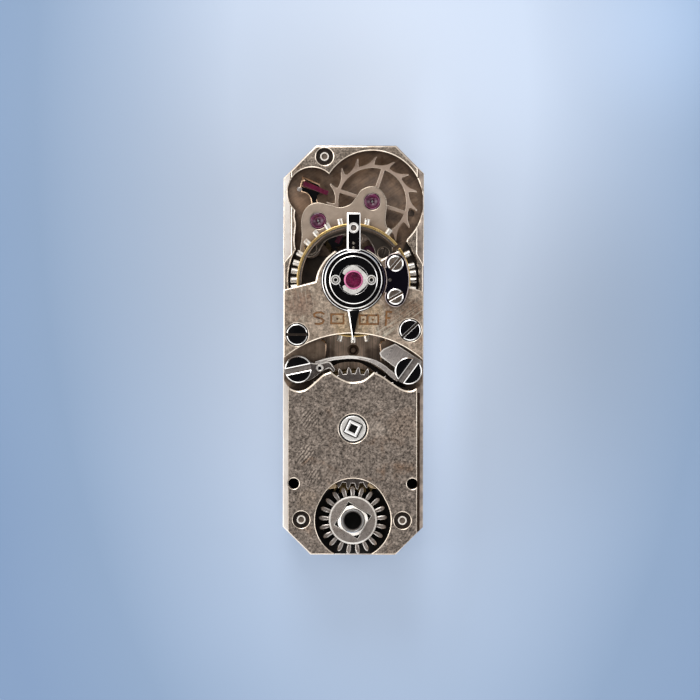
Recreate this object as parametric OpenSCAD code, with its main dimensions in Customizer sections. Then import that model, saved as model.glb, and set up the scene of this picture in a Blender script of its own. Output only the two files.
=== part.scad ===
/* [Plates] */
// Length of the movement along Y
plate_l = 14; // [13.96:0.01:14.04]
// Width of the mainplate along X
plate_w = 4.8; // [4.8:0.01:4.84]
// Height of the mainplate's upper face above the dial seat
plate_top = 1.35; // [1.35:0.005:1.36]
// Height of the ledge beside the escapement plate
ledge_top = 1.65; // [1.62:0.01:1.7]
// Height of the escapement plate's upper face
upper_top = 2.35; // [2.33:0.005:2.35]
// Width of the escapement plate and barrel bridge at their tops
upper_w = 4.4; // [4.38:0.01:4.42]
// Length of the 45 degree corner cuts
corner = 0.95; // [0.9:0.01:1.0]

/* [Barrel bridge] */
// Height of the barrel bridge's upper face
bridge_top = 2.9; // [2.86:0.01:2.92]
// Radius of the deep recess round the winding wheel
wind_recess_r = 1.3; // [1.28:0.01:1.32]
// Distance of the two case screw holes from the centre line
case_hole_x = 2.02; // [2.01:0.005:2.03]
// Radius of the case screw holes
case_hole_r = 0.19; // [0.18:0.005:0.19]

/* [Balance cock] */
// Height of the balance cock's upper face
cock_top = 3.05; // [3.04:0.01:3.06]
// Thickness of the cock over the balance
cock_t = 0.33; // [0.31:0.01:0.34]
// Radius of the arch cut in the cock's lower edge
arch_r = 3.65; // [3.62:0.01:3.68]

/* [Balance] */
// Outer radius of the brass rim
rim_r = 1.92; // [1.9:0.01:1.93]
// Radius over the heads of the rim screws
screw_tip_r = 2.15; // [2.12:0.01:2.16]
// Angle of the cuts in the rim
cut_a = 37; // [34:1:40]
// Radius of the round pocket that the balance turns in
pocket_r = 2.24; // [2.2:0.01:2.25]
// Turns of the hairspring
hair_turns = 9; // [8:1:10]

/* [Wheels] */
// Teeth on the barrel
barrel_n = 66; // [66]
// Leaves of the centre pinion
centre_p = 14; // [14]
// Teeth of the centre wheel
centre_n = 64; // [64]
// Leaves of the third and fourth pinions
pin_n = 8; // [8]
// Teeth of the third wheel
third_n = 60; // [60]
// Teeth of the fourth wheel
fourth_n = 70; // [70]
// Leaves of the escape pinion
esc_p = 7; // [7]
// Teeth of the escape wheel
esc_n = 15; // [15]
// Teeth of the ratchet wheel
ratchet_n = 40; // [40]
// Teeth of the winding wheel
wind_n = 21; // [21]

/* [Stem] */
// Height of the hollow stem's upper end
stem_top = 3.4; // [3.36:0.01:3.4]
// Radius of the crown's screw hole in the stem
crown_r = 0.3; // [0.28:0.01:0.31]

/* [Hidden] */
$fn = 48;
e = 0.01;
hl = plate_l / 2;
hw = plate_w / 2;
uw = upper_w / 2;

// where two circles cross, on the side chosen by s
function cross_pt(p, q, rp, rq, s) =
  let (d = norm(q - p), u = (q - p) / d, a = (rp * rp - rq * rq + d * d) / (2 * d),
    h = sqrt(rp * rp - a * a))
  p + a * u + s * h * [-u[1], u[0]];
function arc(c, r, a0, a1, n) = [for (i = [0:n]) c + r * [cos(a0 + (a1 - a0) * i / n), sin(a0 + (a1 - a0) * i / n)]];
function dir(p, q) = atan2(q[1] - p[1], q[0] - p[0]);
function polar(r, a) = [r * cos(a), r * sin(a)];
// phase of a wheel of n2 teeth that meshes with one of n1 teeth at phase p1, over the line of centres at th
function mesh(p1, n1, th, n2) = th + 180 - (0.5 - (th - p1) * n1 / 360) * 360 / n2;

// arbor places on the plan
C = [0, 0];                 // centre, hands
A = [0, -2.67];             // barrel
W = [0, -5.8];              // winding wheel and stem
B = [0, 2.394];             // balance
E = [0.634, 5.077];         // escape wheel
K = [-1.42, 5.4];           // round end of the fork's recess
P = [-1.207, 4.416];        // pallets
T = [-0.35, 1.867];         // third wheel
F = cross_pt(T, E, 1.75, 1.7, -1); // fourth wheel
mb = norm(A) * 2 / (barrel_n + centre_p);
mc = norm(T) * 2 / (centre_n + pin_n);
mt = 1.75 * 2 / (third_n + pin_n);
mf = 1.7 * 2 / (fourth_n + esc_p);
mr = norm(W - A) * 2 / (ratchet_n + wind_n);
md = 0.05;                  // motion work and setting train
cannon_n = 10; minute_n = 30; minute_p = 8; hour_n = 32; set_n = 38; stem_n = 16;
M = [0, -1];                // minute wheel
J = [0.35, M[1] - sqrt(1.7 * 1.7 - 0.35 * 0.35)];       // intermediate wheel
S = cross_pt(J, W, 1.9, 1.35, -1);                      // setting wheel
S1 = [1.6, -3.45]; S2 = [-1.35, -3.0];                  // cover screws
KL = [-1.88, -0.66]; KR = [1.88, -0.7];                 // click screws
CL = [-1.92, 0.53]; CR = [1.93, 0.69];                  // cock screws
PT = [-1.0, 6.61]; PL = [-1.76, -5.78]; PR = [1.69, -5.8]; // steady pins
XL = [-1.47, 3.48]; XR = [1.02, 3.32];                  // escape bridge screws
D1 = [-1.7, 5.8]; D2 = [1.2, -6.6];                     // dial feet
CP = 0.61;                                              // cap screws from the balance
q_steel = [0.16, 0.16, 0.18]; q_white = [0.78, 0.76, 0.74]; q_plate = [0.55, 0.51, 0.47];
q_brass = [0.78, 0.6, 0.25]; q_ruby = [0.6, 0.05, 0.28]; q_warm = [0.62, 0.54, 0.44];

module at(p, z = 0) translate([p[0], p[1], z]) children();
module rod(p, z0, z1, r) translate([p[0], p[1], z0]) cylinder(h = z1 - z0, r = r);
module tube(p, z0, z1, ro, ri) at(p, z0) difference() {
  cylinder(h = z1 - z0, r = ro);
  translate([0, 0, -0.1]) cylinder(h = z1 - z0 + 0.2, r = ri);
}
module slab(z0, z1) for (i = [0:$children - 1]) translate([0, 0, z0]) linear_extrude(height = z1 - z0) children(i);
module spot(p, r) translate(p) circle(r = r);
module bar(p, q, w) translate(p) rotate(dir(p, q)) translate([0, -w]) square([norm(q - p), 2 * w]);
// toothed outline: n teeth of module m, a tooth on the axis of phase ph
module teeth(n, m, ph = 0, add = 0.95, ded = 1.2, wp = 0.42, wt = 0.18) {
  p = 360 / n; r = n * m / 2;
  polygon([for (i = [0:n - 1]) for (k = [[r - ded * m, -0.29], [r - 0.25 * m, -wp / 2 - 0.015],
    [r + 0.45 * add * m, -wp / 2 + 0.05], [r + add * m, -wt / 2], [r + add * m, wt / 2],
    [r + 0.45 * add * m, wp / 2 - 0.05], [r - 0.25 * m, wp / 2 + 0.015], [r - ded * m, 0.29]])
    polar(k[0], ph + (i + k[1]) * p)]);
}
module leaves(n, m, ph = 0) teeth(n, m, ph, 0.8, 1.15, 0.36, 0.16);
// openings that leave k arms of half width w between hub and rim
module windows(ri, rh, k, w, a0 = 0) difference() {
  circle(r = ri);
  circle(r = rh);
  for (i = [0:k - 1]) rotate(a0 + i * 360 / k) translate([0, -w]) square([ri + 0.1, 2 * w]);
}
module spiral(r0, r1, turns, t, seg, a0 = 0) {
  n = turns * seg;
  f = [for (i = [0:n]) polar(r0 + (r1 - r0) * i / n + t / 2, a0 + i * 360 / seg)];
  g = [for (i = [n:-1:0]) polar(r0 + (r1 - r0) * i / n - t / 2, a0 + i * 360 / seg)];
  polygon(concat(f, g));
}
module outline(w, l, c) polygon([[-w + c, l], [w - c, l], [w, l - c], [w, -l + c], [w - c, -l], [-w + c, -l], [-w, -l + c], [-w, l - c]]);
module screw(p, z0, zh, z1, r, rh, a, sw, sd) difference() {
  union() { rod(p, z0, zh + e, r); rod(p, zh, z1, rh); }
  at(p, z1 - sd) rotate(a) translate([-rh - 0.1, -sw / 2, 0]) cube([2 * rh + 0.2, sw, sd + 0.1]);
}

module dial_recess() {
  spot(C, 0.97); spot(M, 0.88); spot(J, 1.06); spot(S, 1.06); spot(W, 0.55);
}
module cover2d(g) {
  spot(M, 0.3 + g); spot(J, 0.5 + g); spot(S, 0.45 + g); spot(S1, 0.26 + g); spot(S2, 0.26 + g);
  bar(M, J, 0.24 + g); bar(J, S, 0.4 + g); bar(S1, J, 0.22 + g); bar(S2, J, 0.22 + g);
}
module case_holes(z0, z1) for (s = [-1, 1]) rod([s * case_hole_x, -4.55], z0, z1, case_hole_r);

module ledge2d() difference() {
  intersection() { outline(hw, hl, corner); translate([-3, 2.9]) square([6, 5]); }
  upper2d();
}
module mainplate() color(q_plate) difference() {
  union() {
    slab(0, plate_top) outline(hw, hl, corner);
    slab(plate_top - e, ledge_top) ledge2d();
  }
  // dial side: room for the motion work, the cover's sink and the dial feet
  difference() {
    slab(-0.1, 0.34) dial_recess();
    for (p = [M, J, S]) rod(p, 0.06, 0.35, 0.12);
  }
  slab(-0.1, 0.05) cover2d(0.03);
  for (p = [S1, S2]) rod(p, -0.1, 0.55, 0.1);
  for (p = [D1, D2]) rod(p, -0.1, 0.62, 0.2);
  // train side: one round sink for each wheel
  rod(C, 0.52, 2, 1.8);
  rod(T, 1.12, 2, 1.66);
  rod(F, 0.84, 2, 1.66);
  rod(A, 0.7, 2, 2.3);
  rod(T, 0.5, 2, 0.3);
  rod(F, 1.08, 2, 0.28);
  rod(E, 0.78, 2, 0.25);
  // bearings
  rod(C, 0.2, 0.6, 0.2);
  rod(T, 0.38, 0.6, 0.2);
  rod(F, 0.68, 0.9, 0.2);
  rod(E, 0.6, 0.8, 0.2);
  rod(A, 0.4, 0.8, 0.3);
  // stem, screws and pins
  rod(W, 0.2, 2, 0.43);
  for (p = [KL, KR]) rod(p, 0.78, 2, 0.17);
  for (p = [CL, CR]) rod(p, 0.9, 2, 0.14);
  for (p = [PT, PL, PR]) rod(p, 0.7, 2, 0.17);
  // the recesses of the escape wheel and the fork run out over the ledge
  rod(E, 1.52, 2, 1.74);
  rod(K, 1.52, 2, 0.84);
  case_holes(0.5, 2);
}

module upper2d() difference() {
  union() {
    intersection() { outline(uw, hl - 0.03, corner - 0.05); translate([-3, 2.9]) square([6, 5]); }
    polygon([[1.1, hl - 0.03], [1.43, hl - 0.03], [uw, hl - 0.78], [uw, 5.5], [1.1, 6.2]]);
    intersection() { outline(hw - 0.03, hl, corner); translate([-3, -1.36]) square([6, 4.35]); }
  }
  spot(A, 2.04);
}
module escapement_plate() color(q_plate) difference() {
  union() {
    slab(plate_top, upper_top) difference() { upper2d(); translate([-3, -2]) square([6, 2.2]); }
    slab(plate_top, 2.05) intersection() { upper2d(); translate([-3, -2]) square([6, 2.3]); }
    // feet under the balance cock
    for (s = [-1, 1]) slab(upper_top - e, upper_top) translate([s > 0 ? 1.5 : -hw + 0.03, 0.2]) square([hw - 1.53, 0.9]);
  }
  // escape wheel, fork and bridge: one deep recess with two feet left standing
  difference() {
    union() {
      rod(E, 1.52, 3, 1.74);
      rod(K, 1.52, 3, 0.84);
      slab(1.52, 3) polygon([[-1.95, 3.3], [-1.95, 4.75], [-1.7, 5.0], [-0.6, 5.5], [0.3, 4.4], [1.86, 3.7], [1.5, 3.3]]);
    }
    intersection() {
      union() { rod(XL, 1.4, 1.95, 0.34); rod(XR, 1.4, 1.95, 0.27); }
      translate([-3, 0, 1.3]) cube([6, 8, 0.65]);
    }
  }
  // balance pocket
  difference() {
    rod(B, 1.62, 3, pocket_r);
    rod(XL, 1.4, 1.95, 0.34);
    rod(XR, 1.4, 1.95, 0.27);
  }
  // windows on the train in the pocket's floor
  for (w = [[98, 130], [6, 30], [190, 222]]) slab(1.2, 1.8)
    polygon(concat(arc(B, 1.72, w[0], w[1], 10), arc(B, 0.85, w[1], w[0], 8)));
  // valley with its channel over the centre arbor
  slab(1.75, 3) polygon([[-0.92, 0.6], [0.9, 0.6], [0.95, -1.3], [-0.97, -1.3]]);
  slab(2.05, 3) translate([-3, -2]) square([6, 2.21]);
  rod([0, -3.07], 2.05, 3, arch_r + 0.01);
  // bearings
  rod(C, 1.3, 1.8, 0.2);
  rod(T, 1.3, 1.62 + e, 0.2);
  rod(F, 1.3, 1.62 + e, 0.2);
  rod(E, 1.3, 1.6, 0.22);
  rod(P, 1.37, 1.6, 0.2);
  rod(B, 1.37, 1.8, 0.28);
  // screws and pins
  for (p = [KL, KR]) rod(p, 1.3, 2.2, 0.17);
  for (p = [CL, CR]) rod(p, 1.3, 2.5, 0.14);
  rod(PT, 1.3, 2.5, 0.17);
  rod(PT, 2.21, 2.5, 0.3);
  for (p = [XL, XR]) rod(p, 1.4, 2.1, 0.1);
  for (s = [-1, 1]) rod(P + polar(1.3, dir(P, B)) + polar(0.17, dir(P, B) + 90 * s), 1.42, 1.9, 0.04);
}

module escape_bridge() color(q_warm) difference() {
  slab(1.95, 2.2) {
    difference() {
      polygon(concat([[-1.83, 3.35], [-1.79, 3.86], [-1.8, 4.42]],
        arc(P, 0.6, 170, 60, 8), [[-0.63, 4.92], [-0.47, 4.88], [-0.3, 4.91], [-0.1, 5.0]],
        [[0.07, 5.2]], arc(E, 0.53, 130, -5, 9),
        [[1.11, 4.6], [1.1, 4.35], [1.2, 4.05], [1.33, 3.55], [1.3, 3.2], [1.02, 3.02], [0.78, 3.12], [0.68, 3.5], [0.35, 3.92],
         [-0.3, 3.95], [-0.95, 3.72], [-1.2, 3.35], [-1.42, 3.18], [-1.7, 3.2]]));
    }
  }
  for (p = [P, E]) rod(p, 1.9, 2.3, 0.28);
  for (p = [XL, XR]) { rod(p, 1.9, 2.3, 0.1); rod(p, 2.08, 2.3, 0.19); }
}

module cock2d() difference() {
  polygon(concat([[-hw + 0.03, 2.04], [-1.32, 2.33]], arc(B, 1.24, 172, 124, 6), arc(B, 1.02, 120, 60, 6),
    arc(B, 1.24, 57, 42, 3), arc(B, 1.86, 36, -4, 8), [[1.95, 2.15], [hw - 0.03, 2.0], [hw - 0.03, -1], [-hw + 0.03, -1]]));
  spot([0, -3.07], arch_r);
}
module balance_cock() color(q_warm) difference() {
  union() {
    slab(cock_top - cock_t, cock_top) cock2d();
    slab(upper_top, cock_top - cock_t + e) difference() {
      intersection() { cock2d(); translate([-3, -1]) square([6, 2.35]); }
      spot(B, pocket_r);
      translate([-1.3, -1]) square([2.6, 3]);
    }
  }
  rod(B, 2.6, 3.2, 0.3);
  rod(B, 2.95, 3.2, 0.48);
  for (s = [-1, 1]) rod(B + [s * CP, 0], 2.6, 3.2, 0.1);
  for (p = [CL, CR]) { rod(p, 2.2, 3.2, 0.14); rod(p, cock_top - 0.16, 3.2, 0.42); }
  for (s = [-1, 1]) rod(B + polar(1.535, 21.5 * s), 2.6, 3.2, 0.11);
  rod(B + [1.24, 0], 2.6, 3.2, 0.12);
}

module bridge_edge2d() difference() {
  // upper outline: two eyes round the click screws and a scoop over the ratchet teeth
  polygon([[-uw, -0.95], [-2.1, -1.33], [-1.86, -1.4], [-1.61, -1.33], [-1.26, -1.05], [-1.02, -0.84], [-0.76, -0.73],
    [0.71, -0.73], [1.0, -0.89], [1.35, -1.13], [1.7, -1.34], [1.98, -1.37], [2.15, -1.27], [uw, -0.95],
    [uw, -hl + 0.76], [1.45, -hl + 0.05], [-1.42, -hl + 0.05], [-uw, -hl + 0.82]]);
  spot([-0.02, -0.4], 0.69);
}
module barrel_bridge() color(q_plate) difference() {
  union() {
    slab(2.44, bridge_top) bridge_edge2d();
    slab(plate_top, 2.44 + e) intersection() { bridge_edge2d(); translate([-3, -8]) square([6, 6.62]); }
  }
  difference() { rod(A, 1.3, 2.44, 2.25); }
  rod(A, 2.3, 3, 0.45);
  rod(A, bridge_top - 0.05, 3, 0.52);
  // winding wheel recess over its bearing
  rod(W, 1.9, 3, wind_recess_r);
  rod(W, 1.3, 3, 0.65);
  for (p = [PL, PR]) { rod(p, 1.3, 3, 0.17); rod(p, bridge_top - 0.14, 3, 0.3); }
  case_holes(1.3, 3);
}

module endstone_cap() color(q_steel) difference() {
  rod(B, cock_top, 3.28, 0.82);
  rod(B, 3, 3.4, 0.48);
  for (s = [-1, 1]) rod(B + [s * CP, 0], 3, 3.4, 0.1);
}
module endstone_setting() color(q_white) tube(B, 2.95, 3.3, 0.48, 0.31);
module balance_endstone() color(q_ruby) { rod(B, 2.99, 3.29, 0.31); rod(B, 3.28, 3.33, 0.24); }
module cap_screws() color(q_white) for (s = [-1, 1]) difference() {
  union() { rod(B + [s * CP, 0], 2.78, 3.28 + e, 0.1); rod(B + [s * CP, 0], 3.28, 3.33, 0.12); }
  rod(B + [s * CP, 0], 3.2, 3.4, 0.07);
}
module crescent2d() {
  polygon(concat(arc(B, 1.88, -22, 22, 12), arc(B, 1.2, 22, -22, 10)));
  for (s = [-1, 1]) spot(B + polar(1.535, 21.5 * s), 0.36);
}
module stud_plate() color(q_steel) difference() {
  slab(cock_top, 3.2) crescent2d();
  for (s = [-1, 1]) rod(B + polar(1.535, 21.5 * s), 3, 3.3, 0.11);
  rod(B + [1.24, 0], 3, 3.3, 0.07);
}
module stud_plate_screws() color(q_white) {
  screw(B + polar(1.535, 21.5), 2.74, 3.2, 3.31, 0.11, 0.27, 50, 0.08, 0.07);
  screw(B + polar(1.535, -21.5), 2.74, 3.2, 3.31, 0.11, 0.27, 29, 0.08, 0.07);
}
module hairspring_stud() color(q_steel) difference() { rod(B + [1.24, 0], 2.47, 3.18, 0.07); at(B + [1.14, 0], 2.49) translate([-0.1, -0.2, 0]) cube([0.13, 0.4, 0.12]); }
module hairspring() color([0.3, 0.33, 0.45]) slab(2.5, 2.6) translate(B) spiral(0.245, 1.165, hair_turns, 0.025, 24, 0);
module cock_screws() color(q_steel) {
  screw(CL, 0.95, cock_top - 0.16, cock_top + 0.02, 0.14, 0.355, 0, 0.09, 0.09);
  screw(CR, 0.95, cock_top - 0.16, cock_top + 0.02, 0.14, 0.355, 43, 0.09, 0.09);
}
module click_screws() color(q_steel) {
  for (k = [[KL, 12], [KR, 54]]) {
    screw(k[0], 0.85, 2.42, 2.8, 0.17, 0.45, k[1], 0.12, 0.14);
    tube(k[0], 2.05, 2.42 + e, 0.28, 0.16);
  }
}
module steady_pins() color(q_white) {
  tube(PT, 0.7, 2.32, 0.17, 0.1);
  for (p = [PL, PR]) tube(p, 0.7, bridge_top - 0.03, 0.17, 0.1);
}
module click_spring() color([0.5, 0.49, 0.48]) difference() {
  slab(2.1, 2.36) {
    // fixed head round the right screw
    spot(KR, 0.47);
    polygon([[0.9, -0.1], [1.03, 0.05], [1.43, 0.23], [2.33, -0.36], [2.3, -0.6], [1.45, -0.6], [1.42, -0.52], [0.94, -0.22]]);
    // blade arched over the ratchet to the click
    polygon(concat([for (i = [0:14]) let (x = 1.5 - i * 0.2) [x, -0.185 - 0.118 * (x + 0.1) * (x + 0.1) - (x > 0.7 ? 0.3 * (x - 0.7) : 0)]],
      [for (i = [14:-1:0]) let (x = 1.5 - i * 0.2) [x, -0.29 - 0.10 * (x + 0.1) * (x + 0.1) - (x > 0.5 ? 0.62 * (x - 0.5) : 0) + (x < -0.9 ? 0.10 * (-0.9 - x) : 0)]]));
  }
  rod(KR, 2, 2.5, 0.3);
}
module click_pin() color(q_white) tube([-1.144, -0.62], 2.2, 2.46, 0.11, 0.05);
module click() color([0.42, 0.41, 0.4]) difference() {
  slab(2.1, 2.36) {
    spot(KL, 0.47);
    polygon([[-1.6, -0.42], [-1.2, -0.46], [-0.72, -0.43], [-0.6, -0.52], [-0.53, -0.68], [-0.61, -0.765], [-0.78, -0.66], [-1.02, -0.75], [-1.45, -1.02], [-1.75, -1.1]]);
  }
  rod(KL, 2, 2.5, 0.3);
  rod([-1.144, -0.62], 2.2, 2.5, 0.11);
}

module jewel(p, z0, z1, r, h) tube(p, z0, z1, r, h);
module train_jewels() color(q_ruby) {
  jewel(T, 0.38, 0.5, 0.2, 0.065);
  jewel(F, 0.68, 0.82, 0.2, 0.065);
  jewel(E, 0.62, 0.76, 0.2, 0.065);
  jewel(T, 1.44, 1.6, 0.2, 0.065);
  jewel(F, 1.44, 1.6, 0.2, 0.065);
  jewel(P, 1.37, 1.5, 0.2, 0.065);
}
module bridge_jewels() color(q_ruby) for (p = [P, E]) jewel(p, 2.02, 2.19, 0.28, 0.065);
module balance_hole_jewels() color(q_ruby) {
  jewel(B, 1.49, 1.62, 0.28, 0.055);
  jewel(B, 2.8, 2.94, 0.3, 0.055);
}
module lower_endstone() color(q_ruby) rod(B, 1.37, 1.44, 0.28);
module banking_pins() color(q_white) for (s = [-1, 1])
  rod(P + polar(1.3, dir(P, B)) + polar(0.17, dir(P, B) + 90 * s), 1.42, 1.9, 0.04);
module setting_cover() color(q_plate) difference() {
  slab(0, 0.05) cover2d(0);
  for (p = [S1, S2]) rod(p, -0.1, 0.2, 0.1);
}
module setting_cover_screws() color(q_steel) for (k = [[S1, 30], [S2, 110]]) mirror([0, 0, 1])
  screw(k[0], -0.5, -0.05, 0.04, 0.1, 0.2, -k[1], 0.06, 0.05);
module escape_bridge_screws() color(q_steel) {
  screw(XL, 1.45, 2.08, 2.19, 0.1, 0.18, 20, 0.05, 0.05);
  screw(XR, 1.45, 2.08, 2.19, 0.1, 0.18, 75, 0.05, 0.05);
}
module centre_bush() color(q_brass) tube(C, 1.4, 1.72, 0.2, 0.115);

bp = dir(A, C);             // a barrel tooth lies on the line to the centre
module barrel_drum() color(q_brass) difference() {
  union() { rod(A, 0.74, 1.9, 1.98); slab(0.8, 1.08) translate(A) teeth(barrel_n, mb, bp, 0.8, 1.2); }
  rod(A, 0.84, 2, 1.86);
  rod(A, 0.7, 0.9, 0.33);
}
module barrel_lid() color(q_brass) difference() {
  union() { rod(A, 1.9, 1.98, 1.98); rod(A, 1.82, 1.9 + e, 1.85); }
  rod(A, 1.8, 2.1, 0.33);
}
module mainspring() color([0.35, 0.38, 0.45]) slab(0.9, 1.78) translate(A) spiral(0.53, 1.78, 8, 0.07, 24, 0);
module barrel_arbor() color(q_white) difference() {
  union() {
    rod(A, 0.42, 0.72, 0.28);
    rod(A, 0.72, 0.86, 0.32);
    rod(A, 0.86, 1.8, 0.48);
    rod(A, 1.8, 2.02, 0.32);
    at(A, 2.02 - e) rotate(20) linear_extrude(height = 0.42 + e) square(0.56, center = true);
    rod(A, 2.44 - e, bridge_top - 0.02, 0.43);
    at(A, bridge_top - 0.03) rotate(-25) linear_extrude(height = 0.13) square(0.44, center = true);
  }
  at(A, bridge_top - 0.2) rotate(-25) linear_extrude(height = 0.4) square(0.26, center = true);
}
rp = dir(A, W) + 4.2;
module ratchet_wheel() color([0.6, 0.58, 0.56]) difference() {
  slab(2.1, 2.38) translate(A) teeth(ratchet_n, mr, rp, 0.9, 1.1, 0.44, 0.1);
  at(A, 2) rotate(20) linear_extrude(height = 0.5) square(0.56, center = true);
}
// slender teeth with round ends and deep gaps, down to the raised hub
module petals(n, ph) polygon([for (i = [0:n - 1]) for (k = [[0.82, -0.2], [0.9, -0.2], [1.03, -0.21], [1.1, -0.165], [1.155, -0.07],
  [1.165, 0], [1.155, 0.07], [1.1, 0.165], [1.03, 0.21], [0.9, 0.2], [0.82, 0.2]]) polar(k[0], ph + (i + k[1]) * 360 / n)]);
module winding_wheel() color([0.62, 0.6, 0.58]) difference() {
  union() {
    slab(2.12, 2.36) translate(W) petals(wind_n, mesh(rp, ratchet_n, dir(A, W), wind_n));
    rod(W, 1.4, 2.2, 0.62);
    rod(W, 2.3, 2.5, 0.82);
  }
  at(W, 1.3) rotate(-31) linear_extrude(height = 1.3) square(0.92, center = true);
}
module winding_stem() color(q_white) difference() {
  union() {
    at(W, 1.42) rotate(-31) linear_extrude(height = stem_top - 1.42) intersection() { square(0.88, center = true); circle(r = 0.55); }
    rod(W, 0.1, 1.45, 0.4);
    slab(0.02, 0.12) translate(W) teeth(stem_n, md, dir(W, S), 0.9, 1.1);
  }
  rod(W, stem_top - 0.85, 4, crown_r);
}

cph = dir(C, A);
module centre_wheel() color(q_brass) slab(0.56, 0.66) difference() {
  teeth(centre_n, mc, dir(C, T), 0.9, 1.2);
  windows(1.42, 0.42, 4, 0.09, 20);
  circle(r = 0.24);
}
module centre_arbor() color(q_white) {
  rod(C, 0.34, 0.56 + e, 0.17);
  rod(C, 0.55, 0.68, 0.24);
  slab(0.68, 1.16) teeth(centre_p, mb, mesh(bp, barrel_n, dir(A, C), centre_p), 0.8, 1.15, 0.36, 0.16);
  rod(C, 1.15, 1.34, 0.24);
  rod(C, 1.33, 1.7, 0.1);
  rod(C, -0.4, 0.35, 0.1);
}
cnp = dir(C, M);
module cannon_pinion() color(q_white) difference() {
  union() {
    slab(0.17, 0.32) leaves(cannon_n, md, cnp);
    rod(C, -0.5, 0.18, 0.2);
    rod(C, -0.78, -0.49, 0.18);
  }
  rod(C, -0.4, 0.4, 0.1);
}
mnp = mesh(cnp, cannon_n, dir(C, M), minute_n);
module minute_wheel() color(q_brass) difference() {
  union() { slab(0.19, 0.27) translate(M) teeth(minute_n, md, mnp, 0.9, 1.2); slab(0.07, 0.2) translate(M) leaves(minute_p, md, 90); }
  rod(M, 0, 0.4, 0.14);
}
module hour_wheel() color(q_brass) difference() {
  union() {
    slab(0.07, 0.15) teeth(hour_n, md, mesh(90, minute_p, dir(M, C), hour_n), 0.9, 1.2);
    rod(C, 0, 0.1, 0.55);
    rod(C, -0.45, 0.01, 0.36);
  }
  rod(C, -0.6, 0.3, 0.24);
}
jp = mesh(mnp, minute_n, dir(M, J), set_n);
sp = mesh(jp, set_n, dir(J, S), set_n);
module intermediate_wheel() color(q_white) slab(0.19, 0.27) translate(J) difference() { teeth(set_n, md, jp, 0.9, 1.2); circle(r = 0.14); }
module setting_wheel() color(q_white) slab(0.19, 0.27) translate(S) difference() { teeth(set_n, md, sp, 0.9, 1.2); circle(r = 0.14); }
module third_wheel() color(q_brass) slab(1.16, 1.26) translate(T) difference() {
  teeth(third_n, mt, dir(T, F), 0.9, 1.2);
  windows(1.3, 0.3, 5, 0.07, 10);
  circle(r = 0.15);
}
module third_arbor() color(q_white) {
  rod(T, 0.39, 0.52, 0.05);
  rod(T, 0.51, 1.12, 0.1);
  slab(0.54, 0.76) translate(T) leaves(pin_n, mc, mesh(dir(C, T), centre_n, dir(C, T), pin_n));
  rod(T, 1.1, 1.32, 0.15);
  rod(T, 1.31, 1.42, 0.1);
  rod(T, 1.41, 1.59, 0.05);
}
module fourth_wheel() color(q_brass) slab(0.88, 0.98) translate(F) difference() {
  teeth(fourth_n, mf, dir(F, E), 0.9, 1.2);
  windows(1.3, 0.28, 5, 0.06, 0);
  circle(r = 0.13);
}
module fourth_arbor() color(q_white) {
  rod(F, 0.69, 0.84, 0.05);
  rod(F, 0.83, 1.1, 0.13);
  slab(1.08, 1.33) translate(F) leaves(pin_n, mt, mesh(dir(T, F), third_n, dir(T, F), pin_n));
  rod(F, 1.32, 1.42, 0.1);
  rod(F, 1.41, 1.59, 0.05);
}
// fifteen pointed teeth that lean clockwise, on a thin rim with four arms
module escape2d() difference() {
  union() {
    circle(r = 1.27, $fn = 90);
    for (i = [0:esc_n - 1]) rotate(12.9 + i * 24) polygon([polar(1.2, -1), polar(1.34, 2.6), polar(1.42, 1.5), polar(1.55, -0.9),
      polar(1.555, 1.4), polar(1.375, 7.2), polar(1.31, 12), polar(1.26, 20)]);
  }
  windows(1.16, 0.3, 4, 0.06, 71.6);
  circle(r = 0.12);
}
module escape_wheel() color([0.7, 0.64, 0.58]) slab(1.75, 1.85) translate(E) escape2d();
module escape_arbor() color(q_white) {
  rod(E, 0.63, 0.78, 0.05);
  slab(0.8, 1.06) translate(E) leaves(esc_p, mf, mesh(dir(F, E), fourth_n, dir(F, E), esc_p));
  rod(E, 0.77, 2.0, 0.12);
  rod(E, 1.99, 2.17, 0.05);
}
fa = dir(P, B);
// unit frame of the fork: x along the lever towards the balance
module fork_frame() translate(P) rotate(fa) children();
module pallet_fork() color(q_steel) difference() {
  slab(1.72, 1.86) {
    spot(P, 0.24);
    fork_frame() {
      polygon([[0, -0.12], [1.2, -0.05], [1.7, -0.06], [1.8, -0.16], [2.0, -0.2], [1.97, -0.06], [1.84, -0.06],
        [1.84, 0.06], [1.97, 0.06], [2.0, 0.2], [1.8, 0.16], [1.7, 0.06], [1.2, 0.05], [0, 0.12]]);
    }
    // entry and exit arms
    polygon([[-1.4, 4.45], [-1.04, 4.45], [-1.12, 4.8], [-1.25, 5.11], [-1.22, 5.3], [-1.12, 5.4], [-1.16, 5.68], [-1.75, 5.94],
      [-1.83, 5.62], [-1.86, 5.5], [-1.8, 5.42], [-1.64, 5.36], [-1.52, 5.25], [-1.45, 5.08], [-1.42, 4.8]]);
    polygon([[-1.26, 4.26], [-0.95, 4.1], [-0.78, 3.85], [-0.74, 3.66], [-0.6, 3.55], [-0.44, 3.58], [-0.33, 3.8], [-0.38, 3.88],
      [-0.52, 4.02], [-0.7, 4.2], [-0.95, 4.42], [-1.1, 4.58]]);
  }
  rod(P, 1.6, 2, 0.08);
  pallet_bars(0.002);
}
// the two stones: end points on the tooth circle, two and a half teeth apart
module pallet_bars(g) {
  translate([0, 0, 1.68 - g]) linear_extrude(height = 0.22 + 2 * g) {
    translate([-0.88, 5.36]) rotate(158) translate([0, -0.078 - g]) square([0.9 + g, 0.156 + 2 * g]);
    translate([-0.43, 3.95]) rotate(242) translate([0, -0.078 - g]) square([0.32 + g, 0.156 + 2 * g]);
  }
}
module pallet_stones() color(q_ruby) pallet_bars(0);
module pallet_arbor() color(q_white) { rod(P, 1.38, 1.53, 0.05); rod(P, 1.52, 2.0, 0.08); rod(P, 1.99, 2.17, 0.05); }

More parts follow.
